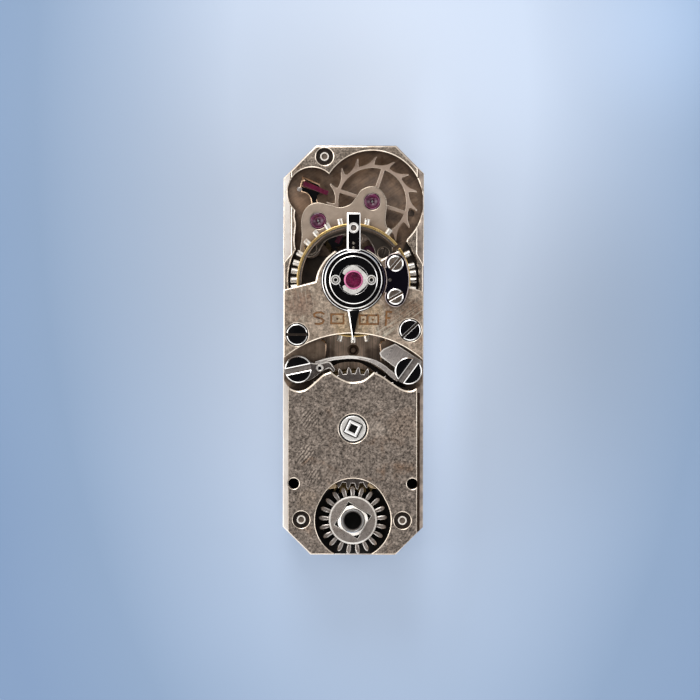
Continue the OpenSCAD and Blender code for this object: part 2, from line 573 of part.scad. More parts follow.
module cuts(w) for (a = [cut_a, cut_a + 180]) at(B, 2) rotate(a) translate([1.2, -w / 2, 0]) cube([1.2, w, 1]);
module balance_wheel() color(q_steel) difference() {
  union() {
    difference() { tube(B, 2.24, 2.44, 1.801, 1.74); cuts(0.14); }
    rod(B, 2.26, 2.4, 0.3);
    intersection() { slab(2.28, 2.38) bar(B + polar(1.78, cut_a - 9), B + polar(1.78, cut_a + 171), 0.1); rod(B, 2, 3, 1.79); }
  }
  rod(B, 2.2, 2.5, 0.12);
}
module balance_rim() color(q_brass) difference() { tube(B, 2.24, 2.44, rim_r, 1.801); cuts(0.14); rim_screws(0.0, 0.04); }
rim_a = [0, 7, 14, 26, 54, 77, 90, 103, 116, 129, 141, 154, 163.5, 171.5];
module rim_screws(g, rt) for (a = rim_a, s = [0, 180]) if (abs(a - cut_a) > 4) at(B, 2.34) rotate([0, 90, a + s])
  translate([0, 0, 1.83]) cylinder(h = 0.2, r = rt + g);
module balance_screws() color(q_white) {
  rim_screws(0, 0.04);
  for (a = rim_a, s = [0, 180]) at(B, 2.34) rotate([0, 90, a + s]) translate([0, 0, rim_r]) cylinder(h = screw_tip_r - rim_r, r = 0.1);
}
module balance_staff() color(q_white) {
  rod(B, 1.45, 1.62, 0.04);
  rod(B, 1.61, 1.7, 0.09);
  rod(B, 1.69, 2.7, 0.12);
  rod(B, 2.69, 2.8, 0.09);
  rod(B, 2.79, 2.94, 0.04);
}
ia = dir(B, P);
module roller() color(q_white) difference() {
  union() { rod(B, 1.92, 2.02, 0.56); rod(B, 1.7, 1.93, 0.22); }
  rod(B, 1.6, 2.2, 0.12);
  rod(B + polar(0.45, ia), 1.8, 2.2, 0.05);
  rod(B + polar(0.3, ia), 1.6, 1.92, 0.09);
}
module impulse_pin() color(q_ruby) rod(B + polar(0.45, ia), 1.68, 2.02, 0.05);
module hairspring_collet() color(q_brass) tube(B, 2.48, 2.62, 0.22, 0.12);

module regulator() color(q_steel) difference() {
  slab(cock_top, 3.17) {
    difference() { spot(B, 1.13); spot(B, 0.84); }
    translate([-0.225, B[1] + 1.05]) square([0.45, 1.24]);
    polygon([[-0.2, B[1] - 1.0], [0.2, B[1] - 1.0], [0.16, 1.2], [0.02, 0.35], [-0.02, 0.35], [-0.16, 1.2]]);
  }
  rod([0, 4.17], 3, 3.3, 0.1);
  for (y = [3.645, 3.49]) rod([0, y], 3, 3.3, 0.035);
}
module curb_pins() color(q_white) for (y = [3.645, 3.49]) rod([0, y], 2.48, 3.19, 0.035);

mainplate();
escapement_plate();
escape_bridge();
balance_cock();
barrel_bridge();
endstone_cap();
endstone_setting();
balance_endstone();
cap_screws();
stud_plate();
stud_plate_screws();
hairspring_stud();
hairspring();
cock_screws();
click_screws();
steady_pins();
click_spring();
train_jewels();
bridge_jewels();
balance_hole_jewels();
lower_endstone();
banking_pins();
setting_cover();
setting_cover_screws();
escape_bridge_screws();
centre_bush();
barrel_drum();
barrel_lid();
mainspring();
barrel_arbor();
ratchet_wheel();
winding_wheel();
winding_stem();
click();
click_pin();
centre_wheel();
centre_arbor();
cannon_pinion();
hour_wheel();
minute_wheel();
setting_wheel();
intermediate_wheel();
third_wheel();
third_arbor();
fourth_wheel();
fourth_arbor();
escape_wheel();
escape_arbor();
pallet_fork();
pallet_stones();
pallet_arbor();
balance_wheel();
balance_rim();
balance_screws();
balance_staff();
roller();
impulse_pin();
hairspring_collet();
regulator();
curb_pins();
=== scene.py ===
"""Looks of a rectangular watch movement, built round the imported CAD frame. Lengths in the helpers are in millimetres."""
import math

import bpy
import bmesh
import numpy as np
from mathutils import Matrix, Vector
from mathutils.geometry import delaunay_2d_cdt


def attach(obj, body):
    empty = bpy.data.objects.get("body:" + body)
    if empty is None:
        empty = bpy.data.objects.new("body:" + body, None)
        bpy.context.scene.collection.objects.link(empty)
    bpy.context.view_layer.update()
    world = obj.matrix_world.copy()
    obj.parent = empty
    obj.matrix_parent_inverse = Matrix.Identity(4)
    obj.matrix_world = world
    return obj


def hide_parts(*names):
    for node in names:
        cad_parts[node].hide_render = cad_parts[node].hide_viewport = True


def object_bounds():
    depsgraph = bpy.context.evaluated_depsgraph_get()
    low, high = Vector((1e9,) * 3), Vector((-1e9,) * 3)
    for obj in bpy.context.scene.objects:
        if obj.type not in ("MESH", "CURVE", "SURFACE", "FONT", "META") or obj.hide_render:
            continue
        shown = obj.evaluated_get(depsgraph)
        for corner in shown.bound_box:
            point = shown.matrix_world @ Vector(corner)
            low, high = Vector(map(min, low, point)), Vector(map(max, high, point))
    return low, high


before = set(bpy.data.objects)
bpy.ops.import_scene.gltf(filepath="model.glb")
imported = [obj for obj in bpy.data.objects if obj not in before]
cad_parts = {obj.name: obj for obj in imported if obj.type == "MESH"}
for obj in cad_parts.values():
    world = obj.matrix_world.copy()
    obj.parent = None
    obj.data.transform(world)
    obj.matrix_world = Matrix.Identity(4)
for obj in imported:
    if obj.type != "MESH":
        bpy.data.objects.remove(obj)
cad_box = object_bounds()
MM = 0.001

# ---------------------------------------------------------------- flat shapes


def polar(r, a):
    return np.array([r * math.cos(math.radians(a)), r * math.sin(math.radians(a))])


def heading(p, q):
    return math.degrees(math.atan2(q[1] - p[1], q[0] - p[0]))


def cross_pt(p, q, rp, rq, s):
    p, q = np.array(p, float), np.array(q, float)
    d = np.linalg.norm(q - p)
    u = (q - p) / d
    a = (rp * rp - rq * rq + d * d) / (2 * d)
    h = math.sqrt(rp * rp - a * a)
    return p + a * u + s * h * np.array([-u[1], u[0]])


def inside(pts, loops):
    """Even-odd test of points against closed loops."""
    pts = np.asarray(pts, float)
    res = np.zeros(len(pts), bool)
    if not len(pts) or not loops:
        return res
    a = np.concatenate([np.asarray(l, float) for l in loops])
    b = np.concatenate([np.roll(np.asarray(l, float), -1, axis=0) for l in loops])
    for s in range(0, len(pts), 2048):
        x, y = pts[s : s + 2048, 0:1], pts[s : s + 2048, 1:2]
        cond = (a[:, 1] > y) != (b[:, 1] > y)
        with np.errstate(divide="ignore", invalid="ignore"):
            xi = (b[:, 0] - a[:, 0]) * (y - a[:, 1]) / (b[:, 1] - a[:, 1]) + a[:, 0]
        res[s : s + 2048] = ((cond & (x < xi)).sum(axis=1) % 2) == 1
    return res


def tidy(loop, tol=2e-5):
    """Drops doubled points and points on a straight run."""
    p = [np.asarray(q, float) for q in loop]
    changed = True
    while changed and len(p) > 3:
        changed = False
        keep = []
        n = len(p)
        i = 0
        drop = [False] * n
        while i < n:
            a, b, c = p[i - 1], p[i], p[(i + 1) % n]
            if not drop[i - 1]:
                ab, bc, ac = b - a, c - b, c - a
                l = np.linalg.norm(ac)
                if np.linalg.norm(ab) < 1e-5:
                    drop[i] = True
                elif l > 1e-9 and abs(ac[0] * ab[1] - ac[1] * ab[0]) / l < tol and np.dot(ab, bc) > 0:
                    drop[i] = True
            i += 1
        keep = [q for q, d in zip(p, drop) if not d]
        if len(keep) < len(p):
            changed = True
            p = keep
    return np.array(p)


def triangulate(loops, extra=()):
    verts, edges = [], []
    for l in list(loops) + list(extra):
        n0, n = len(verts), len(l)
        verts += [Vector((float(q[0]), float(q[1]))) for q in l]
        edges += [(n0 + i, n0 + (i + 1) % n) for i in range(n)]
    if len(verts) < 3:
        return np.zeros((0, 2)), np.zeros((0, 3), int)
    vs, _, fs, _, _, _ = delaunay_2d_cdt(verts, edges, [], 0, 1e-6)
    P = np.array([v[:] for v in vs])
    T = np.array([f[:3] for f in fs], int).reshape(-1, 3)
    a, b, c = P[T[:, 0]], P[T[:, 1]], P[T[:, 2]]
    area = (b[:, 0] - a[:, 0]) * (c[:, 1] - a[:, 1]) - (b[:, 1] - a[:, 1]) * (c[:, 0] - a[:, 0])
    flip = area < 0
    T[flip] = T[flip][:, ::-1]
    return P, T[np.abs(area) > 1e-11]


def loops_of(P, T):
    """Boundary loops of a set of triangles, material on the left."""
    edges = set()
    for t in T:
        for k in range(3):
            edges.add((int(t[k]), int(t[(k + 1) % 3])))
    border = [e for e in edges if (e[1], e[0]) not in edges]
    nxt = {}
    for a, b in sorted(border):
        nxt.setdefault(a, []).append(b)
    loops = []
    while nxt:
        start = min(nxt)
        loop, cur, prev = [start], start, None
        while True:
            outs = nxt[cur]
            if len(outs) > 1 and prev is not None:
                d = P[cur] - P[prev]

                def turn(o):
                    f = P[o] - P[cur]
                    return math.atan2(d[0] * f[1] - d[1] * f[0], d[0] * f[0] + d[1] * f[1])

                b = max(outs, key=turn)
            else:
                b = outs[0]
            outs.remove(b)
            if not outs:
                del nxt[cur]
            prev, cur = cur, b
            if cur == start:
                break
            loop.append(cur)
            if cur not in nxt:
                break
        if len(loop) > 2:
            l = tidy(P[loop])
            if len(l) > 2:
                loops.append(l)
    return loops


def combine(a, b, rule, extra=()):
    P, T = triangulate(list(a) + list(b), extra)
    if not len(T):
        return P, T
    cen = P[T].mean(axis=1)
    return P, T[rule(inside(cen, a), inside(cen, b))]


class Reg:
    """A flat region: loops with the material on their left."""

    def __init__(self, loops):
        self.loops = loops

    def _op(self, o, rule):
        return Reg(loops_of(*combine(self.loops, o.loops, rule)))

    def __add__(self, o):
        return self._op(o, lambda x, y: x | y)

    def __sub__(self, o):
        return self._op(o, lambda x, y: x & ~y)

    def __and__(self, o):
        return self._op(o, lambda x, y: x & y)

    def has(self, pts):
        return inside(pts, self.loops)


EMPTY = Reg([])


def poly(pts):
    p = np.array(pts, float)
    P, T = combine([p], [], lambda x, y: x)
    return Reg(loops_of(P, T))


def seg_n(r):
    return int(min(200, max(28, 96 * math.sqrt(max(r, 0.02)))))


def circ(p, r, n=None, a0=0.0):
    n = n or seg_n(r)
    return Reg([np.array([np.array(p) + polar(r, a0 + 360 * i / n) for i in range(n)])])


def ring(p, ro, ri):
    return circ(p, ro) - circ(p, ri)


def bar(p, q, w):
    p, q = np.array(p, float), np.array(q, float)
    u = (q - p) / np.linalg.norm(q - p)
    n = np.array([-u[1], u[0]]) * w
    return poly([p - n, q - n, q + n, p + n])


def rect(x0, y0, x1, y1):
    return poly([(x0, y0), (x1, y0), (x1, y1), (x0, y1)])


def square(p, side, a, cut=0.0):
    h = side / 2
    pts = [(-h + cut, -h), (h - cut, -h), (h, -h + cut), (h, h - cut), (h - cut, h), (-h + cut, h), (-h, h - cut), (-h, -h + cut)]
    if not cut:
        pts = [(-h, -h), (h, -h), (h, h), (-h, h)]
    c, s = math.cos(math.radians(a)), math.sin(math.radians(a))
    return poly([(p[0] + c * x - s * y, p[1] + s * x + c * y) for x, y in pts])


def arc_pts(c, r, a0, a1, n):
    return [np.array(c) + polar(r, a0 + (a1 - a0) * i / n) for i in range(n + 1)]


def spline(pts, corners=(), n=8):
    """Closed smooth outline through the points; corner points stay sharp."""
    P = [np.array(p, float) for p in pts]
    N, out = len(P), []
    corners = {c % N for c in corners}
    for i in range(N):
        j = (i + 1) % N
        p0, p1, p2, p3 = P[i - 1], P[i], P[j], P[(i + 2) % N]
        L = np.linalg.norm(p2 - p1)
        if i in corners and j in corners:
            out.append(p1)
            continue
        m1 = (p2 - p1) if i in corners else (p2 - p0) / (np.linalg.norm(p1 - p0) + L) * L
        m2 = (p2 - p1) if j in corners else (p3 - p1) / (np.linalg.norm(p3 - p2) + L) * L
        for k in range(n):
            t = k / n
            out.append((2 * t**3 - 3 * t**2 + 1) * p1 + (t**3 - 2 * t**2 + t) * m1 + (-2 * t**3 + 3 * t**2) * p2 + (t**3 - t**2) * m2)
    return poly(out)


def stroke(pts, w):
    """A thin line of width w through the points, as a region."""
    r = EMPTY
    for a, b in zip(pts[:-1], pts[1:]):
        r = r + bar(a, b, w / 2)
    for q in pts:
        r = r + circ(q, w / 2, 12)
    return r


def teeth(n, m, ph=0.0, c=(0, 0), add=0.95, ded=1.2, wp=0.42, wt=0.18, fine=True):
    """Toothed outline; fine adds a rounded flank."""
    p, r = 360 / n, n * m / 2
    prof = [(r - ded * m, -0.29), (r - 0.25 * m, -wp / 2 - 0.015), (r + 0.45 * add * m, -wp / 2 + 0.05), (r + add * m, -wt / 2),
            (r + add * m, wt / 2), (r + 0.45 * add * m, wp / 2 - 0.05), (r - 0.25 * m, wp / 2 + 0.015), (r - ded * m, 0.29)]
    if fine:
        prof = [(r - ded * m, -0.30), (r - 0.98 * ded * m, -0.255), (r - 0.25 * m, -wp / 2 - 0.015), (r + 0.1 * m, -wp / 2 + 0.01),
                (r + 0.45 * add * m, -wp / 2 + 0.05), (r + 0.8 * add * m, -(wt / 2 + wp / 2) / 2 + 0.02), (r + 0.96 * add * m, -wt / 2 * 0.8),
                (r + add * m, -wt / 5), (r + add * m, wt / 5), (r + 0.96 * add * m, wt / 2 * 0.8),
                (r + 0.8 * add * m, (wt / 2 + wp / 2) / 2 - 0.02), (r + 0.45 * add * m, wp / 2 - 0.05), (r + 0.1 * m, wp / 2 - 0.01),
                (r - 0.25 * m, wp / 2 + 0.015), (r - 0.98 * ded * m, 0.255), (r - ded * m, 0.30)]
    return poly([np.array(c) + polar(k[0], ph + (i + k[1]) * p) for i in range(n) for k in prof])


def windows(c, ri, rh, k, w, a0=0.0):
    r = circ(c, ri) - circ(c, rh)
    for i in range(k):
        a = a0 + i * 360 / k
        r = r - bar(np.array(c), np.array(c) + polar(ri + 0.1, a), w)
    return r


def mesh_phase(p1, n1, th, n2):
    return th + 180 - (0.5 - (th - p1) * n1 / 360) * 360 / n2


def inset(loop, c):
    """The loop moved to its left by c, which may differ by point."""
    p = np.asarray(loop, float)
    d0 = p - np.roll(p, 1, axis=0)
    d1 = np.roll(p, -1, axis=0) - p
    d0 /= np.maximum(np.linalg.norm(d0, axis=1, keepdims=True), 1e-12)
    d1 /= np.maximum(np.linalg.norm(d1, axis=1, keepdims=True), 1e-12)
    n0 = np.stack([-d0[:, 1], d0[:, 0]], 1)
    n1 = np.stack([-d1[:, 1], d1[:, 0]], 1)
    m = n0 + n1
    ln = np.linalg.norm(m, axis=1, keepdims=True)
    m = np.where(ln > 1e-6, m / np.maximum(ln, 1e-12), n0)
    k = 1 / np.maximum((m * n0).sum(axis=1), 0.4)
    c = np.broadcast_to(np.asarray(c, float), (len(p),))
    return p + m * (c * k)[:, None]


# ---------------------------------------------------------------- solids


class Solid:
    """Collects faces in millimetres and makes one object of them."""

    def __init__(self):
        self.v, self.f, self.m, self.s = [], [], [], []
        self.n = 0

    def add(self, verts, faces, mat=0, smooth=True, xf=None):
        verts = np.asarray(verts, float).reshape(-1, 3)
        if xf is not None:
            M = np.array(xf)
            verts = verts @ M[:3, :3].T + M[:3, 3]
        self.v.append(verts)
        mats = mat if isinstance(mat, (list, np.ndarray)) else [mat] * len(faces)
        for f, k in zip(faces, mats):
            self.f.append(tuple(int(i) + self.n for i in f))
            self.m.append(int(k))
            self.s.append(smooth)
        self.n += len(verts)

    def stack(self, levels, bottom=0, xf=None, steps=1):
        """levels: dicts with z0, z1, r and optional c, top, edge, side, fn, rings; each lies on the one before."""
        for i, lv in enumerate(levels):
            z0, z1, R = lv["z0"], lv["z1"], lv["r"]
            c, top, edge, side = lv.get("c", 0.0), lv.get("top", 0), lv.get("edge", 1), lv.get("side", 0)
            st = lv.get("steps", steps)
            cz = lv.get("cz", 0.55)
            fn = lv.get("fn")
            up = levels[i + 1]["r"] if i + 1 < len(levels) and abs(levels[i + 1]["z0"] - z1) < 1e-6 else EMPTY
            dn = levels[i - 1]["r"] if i and abs(levels[i - 1]["z1"] - z0) < 1e-6 else EMPTY
            tops = []
            for loop in R.loops:
                n = len(loop)
                cc = np.array([c(q) for q in loop]) if callable(c) else np.full(n, float(c))
                if up.loops:
                    cc = np.where(inside(inset(loop, 0.004), up.loops), 0.0, cc)
                prev = np.column_stack([loop, np.full(n, z0)])
                rows = [prev]
                if (cc > 0).any():
                    rows.append(np.column_stack([loop, z1 - cc * cz]))
                    for k in range(1, st + 1):
                        t = math.pi / 2 * k / st
                        if st == 1:
                            q, dz = inset(loop, cc), np.zeros(n)
                        else:
                            q, dz = inset(loop, cc * (1 - math.cos(t))), -cc * cz * (1 - math.sin(t))
                        rows.append(np.column_stack([q, z1 + dz]))
                    tops.append(rows[-1][:, :2])
                else:
                    rows.append(np.column_stack([loop, np.full(n, z1)]))
                    tops.append(np.asarray(loop))
                if fn is not None:
                    for rw in rows[1:]:
                        rw[:, 2] += np.array([fn(x, y) for x, y in rw[:, :2]])
                verts = np.concatenate(rows)
                faces, mats = [], []
                for k in range(len(rows) - 1):
                    for a in range(n):
                        b = (a + 1) % n
                        if k and cc[a] == 0 and cc[b] == 0:
                            continue
                        faces.append((k * n + a, k * n + b, (k + 1) * n + b, (k + 1) * n + a))
                        mats.append(edge if k else side)
                self.add(verts, faces, mats, True, xf)
            extra = lv.get("rings", ())
            P, T = combine(tops, up.loops, lambda x, y: x & ~y, extra)
            if len(T):
                z = np.full(len(P), z1)
                if fn is not None:
                    z = z + np.array([fn(x, y) for x, y in P])
                self.add(np.column_stack([P, z]), T, top, fn is not None, xf)
            P, T = combine(R.loops, dn.loops, lambda x, y: x & ~y)
            if len(T):
                self.add(np.column_stack([P, np.full(len(P), z0)]), T[:, ::-1], lv.get("under", bottom), False, xf)
        return self

    def plate(self, R, z0, z1, c=0.02, top=0, edge=1, side=0, steps=1, xf=None, **k):
        return self.stack([dict(z0=z0, z1=z1, r=R, c=c, top=top, edge=edge, side=side, steps=steps, **k)], side, xf)

    def lathe(self, p, prof, mats=0, closed=False, n=None, xf=None, a0=0.0):
        """Profile of (r, z) run from the bottom outwards, up and back in."""
        rmax = max(r for r, _ in prof)
        n = n or seg_n(rmax)
        rows, idx, verts = len(prof), [], []
        for r, z in prof:
            if r < 1e-6:
                idx.append([len(verts)] * n)
                verts.append((p[0], p[1], z))
            else:
                idx.append(list(range(len(verts), len(verts) + n)))
                for i in range(n):
                    q = polar(r, a0 + 360 * i / n)
                    verts.append((p[0] + q[0], p[1] + q[1], z))
        faces, fm = [], []
        segs = rows if closed else rows - 1
        for j in range(segs):
            a, b = idx[j], idx[(j + 1) % rows]
            k = mats[j] if isinstance(mats, (list, tuple)) else mats
            for i in range(n):
                i2 = (i + 1) % n
                f = []
                for q in (a[i], a[i2], b[i2], b[i]):
                    if q not in f:
                        f.append(q)
                if len(f) > 2:
                    faces.append(tuple(f))
                    fm.append(k)
        self.add(verts, faces, fm, True, xf)
        return self

    def make(self, name, body, mats, nodes=(), angle=28):
        me = bpy.data.meshes.new(name)
        V = np.concatenate(self.v) * MM
        me.from_pydata([tuple(q) for q in V], [], self.f)
        me.polygons.foreach_set("material_index", self.m)
        me.polygons.foreach_set("use_smooth", self.s)
        for k in mats:
            me.materials.append(k)
        bm = bmesh.new()
        bm.from_mesh(me)
        bmesh.ops.remove_doubles(bm, verts=bm.verts, dist=1.5e-7)
        bmesh.ops.dissolve_degenerate(bm, edges=bm.edges, dist=2e-8)
        loose = [v for v in bm.verts if not v.link_faces]
        bmesh.ops.delete(bm, geom=loose, context="VERTS")
        bm.to_mesh(me)
        bm.free()
        me.set_sharp_from_angle(angle=math.radians(angle))
        o = bpy.data.objects.new(name, me)
        bpy.context.scene.collection.objects.link(o)
        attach(o, body)
        if nodes:
            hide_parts(*nodes)
        return o


def spin(p, a, z=0.0):
    return Matrix.Translation((p[0], p[1], z)) @ Matrix.Rotation(math.radians(a), 4, "Z")


# ---------------------------------------------------------------- materials


class G:
    """Small helper for node graphs."""

    def __init__(self, name):
        self.mat = bpy.data.materials.new(name)
        self.mat.use_nodes = True
        self.t = self.mat.node_tree
        self.t.nodes.clear()
        self.out = self.node("ShaderNodeOutputMaterial")
        self.p = self.node("ShaderNodeBsdfPrincipled")
        self.link(self.p.outputs[0], self.out.inputs[0])
        tc = self.node("ShaderNodeTexCoord")
        self.mm = self.mapping(tc.outputs["Object"], scale=(1000, 1000, 1000))

    def node(self, kind, **k):
        n = self.t.nodes.new(kind)
        for a, b in k.items():
            setattr(n, a, b)
        return n

    def link(self, a, b):
        self.t.links.new(a, b)

    def mapping(self, src, scale=(1, 1, 1), rot=(0, 0, 0), loc=(0, 0, 0)):
        n = self.node("ShaderNodeMapping")
        n.inputs["Location"].default_value = loc
        n.inputs["Rotation"].default_value = [math.radians(a) for a in rot]
        n.inputs["Scale"].default_value = scale
        self.link(src, n.inputs["Vector"])
        return n.outputs[0]

    def noise(self, scale, detail=4, rough=0.55, src=None, dist=0.0, lac=2.0):
        n = self.node("ShaderNodeTexNoise")
        n.inputs["Scale"].default_value = scale
        n.inputs["Detail"].default_value = detail
        n.inputs["Roughness"].default_value = rough
        n.inputs["Distortion"].default_value = dist
        n.inputs["Lacunarity"].default_value = lac
        self.link(src or self.mm, n.inputs["Vector"])
        return n.outputs["Fac"]

    def ramp(self, src, a, b, lo=0.0, hi=1.0, smooth=False):
        n = self.node("ShaderNodeMapRange")
        n.interpolation_type = "SMOOTHSTEP" if smooth else "LINEAR"
        n.inputs["From Min"].default_value = a
        n.inputs["From Max"].default_value = b
        n.inputs["To Min"].default_value = lo
        n.inputs["To Max"].default_value = hi
        self.link(src, n.inputs["Value"])
        return n.outputs[0]

    def mix(self, fac, a, b, kind="MIX"):
        n = self.node("ShaderNodeMix", data_type="RGBA", blend_type=kind)
        n.clamp_factor = True
        for val, sock in ((fac, n.inputs[0]), (a, n.inputs[6]), (b, n.inputs[7])):
            if isinstance(val, bpy.types.NodeSocket):
                self.link(val, sock)
            elif isinstance(val, (int, float)):
                sock.default_value = val
            else:
                sock.default_value = (*val[:3], 1.0)
        return n.outputs[2]

    def math(self, op, a, b=None):
        n = self.node("ShaderNodeMath", operation=op)
        for val, sock in ((a, n.inputs[0]), (b, n.inputs[1])):
            if val is None:
                continue
            if isinstance(val, bpy.types.NodeSocket):
                self.link(val, sock)
            else:
                sock.default_value = val
        return n.outputs[0]

    def bump(self, height, strength=0.3, dist=0.00001, normal=None):
        n = self.node("ShaderNodeBump")
        n.inputs["Strength"].default_value = strength
        n.inputs["Distance"].default_value = dist
        self.link(height, n.inputs["Height"])
        if normal is not None:
            self.link(normal, n.inputs["Normal"])
        return n.outputs[0]

    def corner_shade_and_grime(self, dist=0.25):
        """Ambient occlusion: dark in corners and sinks, 1 in the open; used to paint shade and grime there."""
        n = self.node("ShaderNodeAmbientOcclusion")
        n.samples = 6
        n.inputs["Distance"].default_value = dist * MM
        return n.outputs["AO"]


def metal(name, base, dark, patina=None, rough=0.35, rvar=0.12, metallic=1.0, mott=1.4, patscale=0.7, patamt=(0.5, 0.72), grain=None,
          scratch=None, shade_and_grime=None, shade_and_grime_dist=0.25, bump=0.25, speck=0.0, coat=0.0, streak=None, spk=9.0, painted_side_light=None, hatch=None, shade=None, tintspot=None, fleck=None):
    """A worked metal: mottled colour, patina patches, grain and scratches along a direction, painted shade and grime in
    corners.
    """
    g = G(name)
    p = g.p
    p.inputs["Metallic"].default_value = metallic
    n1 = g.noise(mott, 6, 0.62)
    col = g.mix(g.ramp(n1, 0.32, 0.68), dark, base)
    heights = []
    rsum = g.ramp(g.noise(mott * 3.1, 5, 0.6), 0.3, 0.7, rough - rvar, rough + rvar)
    if patina:
        n2 = g.noise(patscale, 5, 0.58, g.mapping(g.mm, loc=(7.3, 2.1, 4.4)), dist=0.6)
        f = g.ramp(n2, patamt[0], patamt[1], 0, 1, True)
        col = g.mix(f, col, patina)
        rsum = g.math("ADD", rsum, g.math("MULTIPLY", f, 0.12))
    if streak:
        ang, fine, amt, colr = streak
        n3 = g.noise(1.0, 4, 0.6, g.mapping(g.mapping(g.mm, rot=(0, 0, -ang)), scale=(0.25, fine, 0.25)))
        col = g.mix(g.math("MULTIPLY", g.ramp(n3, 0.42, 0.66), amt), col, colr)
    # painted side light: the colour turns into a second tone along X, standing in for light from one side
    if painted_side_light:
        xa, xb, colx = painted_side_light
        sx = g.node("ShaderNodeSeparateXYZ")
        g.link(g.mm, sx.inputs[0])
        n6 = g.noise(mott * 1.7, 4, 0.6, g.mapping(g.mm, loc=(3.1, 8.2, 1.4)))
        colx = g.mix(g.ramp(n6, 0.35, 0.65), tuple(c * 0.6 for c in colx), tuple(min(1, c * 1.3) for c in colx))
        col = g.mix(g.ramp(sx.outputs["X"], xa, xb), col, colx)
    # tintspot: round patches blended to a given colour; those on the shelf and valley floors are painted shade
    if tintspot:
        for (tx, ty, tr, colt, ta) in tintspot:
            dd = g.node("ShaderNodeVectorMath", operation="DISTANCE")
            g.link(g.mapping(g.mm, scale=(1, 1, 0)), dd.inputs[0])
            dd.inputs[1].default_value = (tx, ty, 0)
            wob = g.math("ADD", dd.outputs["Value"], g.ramp(g.noise(2.2, 4, 0.6, g.mapping(g.mm, loc=(tx, 5, ty))), 0.3, 0.7, -0.35 * tr, 0.35 * tr))
            col = g.mix(g.math("MULTIPLY", g.ramp(wob, tr * 0.45, tr, 1.0, 0.0, True), ta), col, colt)
    if hatch:
        ang, period, amt, spots, base_amt = hatch
        rot = g.mapping(g.mm, rot=(0, 0, -ang))
        sx = g.node("ShaderNodeSeparateXYZ")
        g.link(rot, sx.inputs[0])
        wob = g.math("ADD", sx.outputs["Y"], g.ramp(g.noise(1.6, 3, 0.5), 0.3, 0.7, -0.035, 0.035))
        wav = g.math("SINE", g.math("MULTIPLY", wob, 2 * math.pi / period))
        gate = g.ramp(g.noise(1.3, 3, 0.5, g.mapping(g.mm, loc=(2.2, 6.1, 0))), 0.45, 0.65, 0.0, base_amt)
        for (tx, ty, tr) in spots:
            dd = g.node("ShaderNodeVectorMath", operation="DISTANCE")
            g.link(g.mapping(g.mm, scale=(1, 1, 0)), dd.inputs[0])
            dd.inputs[1].default_value = (tx, ty, 0)
            gate = g.math("MAXIMUM", gate, g.ramp(dd.outputs["Value"], tr * 0.6, tr, 1.0, 0.0, True))
        hm = g.math("MULTIPLY", g.math("MULTIPLY", wav, gate), amt)
        v = g.node("ShaderNodeVectorMath", operation="SCALE")
        g.link(col, v.inputs[0])
        g.link(g.math("ADD", hm, 1.0), v.inputs["Scale"])
        col = v.outputs[0]
        heights.append((g.math("MULTIPLY", wav, gate), 1.2))
    if fleck:
        v = g.node("ShaderNodeVectorMath", operation="SCALE")
        g.link(col, v.inputs[0])
        g.link(g.ramp(g.noise(fleck[0], 2, 0.7), 0.3, 0.7, 1 - fleck[1], 1 + fleck[1]), v.inputs["Scale"])
        col = v.outputs[0]
    # painted shade: the colour darkens towards a given point
    if shade:
        tx, ty, ra, rb, fac = shade
        dd = g.node("ShaderNodeVectorMath", operation="DISTANCE")
        g.link(g.mapping(g.mm, scale=(1, 1, 0)), dd.inputs[0])
        dd.inputs[1].default_value = (tx, ty, 0)
        v = g.node("ShaderNodeVectorMath", operation="SCALE")
        g.link(col, v.inputs[0])
        g.link(g.ramp(dd.outputs["Value"], ra, rb, fac, 1.0, True), v.inputs["Scale"])
        col = v.outputs[0]
    if grain:
        ang, fine, amt = grain
        n4 = g.noise(1.0, 3, 0.7, g.mapping(g.mapping(g.mm, rot=(0, 0, -ang)), scale=(fine * 0.035, fine, fine * 0.5)))
        gr = g.ramp(n4, 0.35, 0.65, -1, 1)
        k = g.math("ADD", g.math("MULTIPLY", gr, amt), 1.0)
        v = g.node("ShaderNodeVectorMath", operation="SCALE")
        g.link(col, v.inputs[0])
        g.link(k, v.inputs["Scale"])
        col = v.outputs[0]
        rsum = g.math("ADD", rsum, g.math("MULTIPLY", gr, -0.07))
        heights.append((gr, 0.5))
    if scratch:
        for ang, dens, amt, seed in scratch:
            src = g.mapping(g.mapping(g.mm, rot=(0, 0, -ang), loc=(seed, seed * 0.37, 0)), scale=(0.16, dens, 0.4))
            n5 = g.noise(1.0, 2, 0.5, src, dist=0.15)
            band = g.math("ABSOLUTE", g.math("SUBTRACT", n5, 0.5))
            line = g.ramp(band, 0.0, 0.02, 1.0, 0.0)
            gate = g.ramp(g.noise(0.8, 2, 0.5, g.mapping(g.mm, loc=(seed * 1.7, 3, seed))), 0.5, 0.62)
            line = g.math("MULTIPLY", line, gate)
            col = g.mix(g.math("MULTIPLY", line, amt), col, (min(1, base[0] * 1.9), min(1, base[1] * 1.9), min(1, base[2] * 1.9)))
            heights.append((line, -0.8))
    if speck:
        v = g.node("ShaderNodeTexVoronoi")
        v.inputs["Scale"].default_value = spk
        v.inputs["Randomness"].default_value = 1.0
        g.link(g.mm, v.inputs["Vector"])
        sp = g.ramp(v.outputs["Distance"], 0.05, 0.16, 1.0, 0.0)
        gate = g.ramp(g.noise(1.1, 3, 0.5, g.mapping(g.mm, loc=(1, 9, 2))), 0.52, 0.6)
        sp = g.math("MULTIPLY", g.math("MULTIPLY", sp, gate), speck)
        col = g.mix(sp, col, (dark[0] * 0.3, dark[1] * 0.27, dark[2] * 0.25))
        heights.append((sp, -1.0))
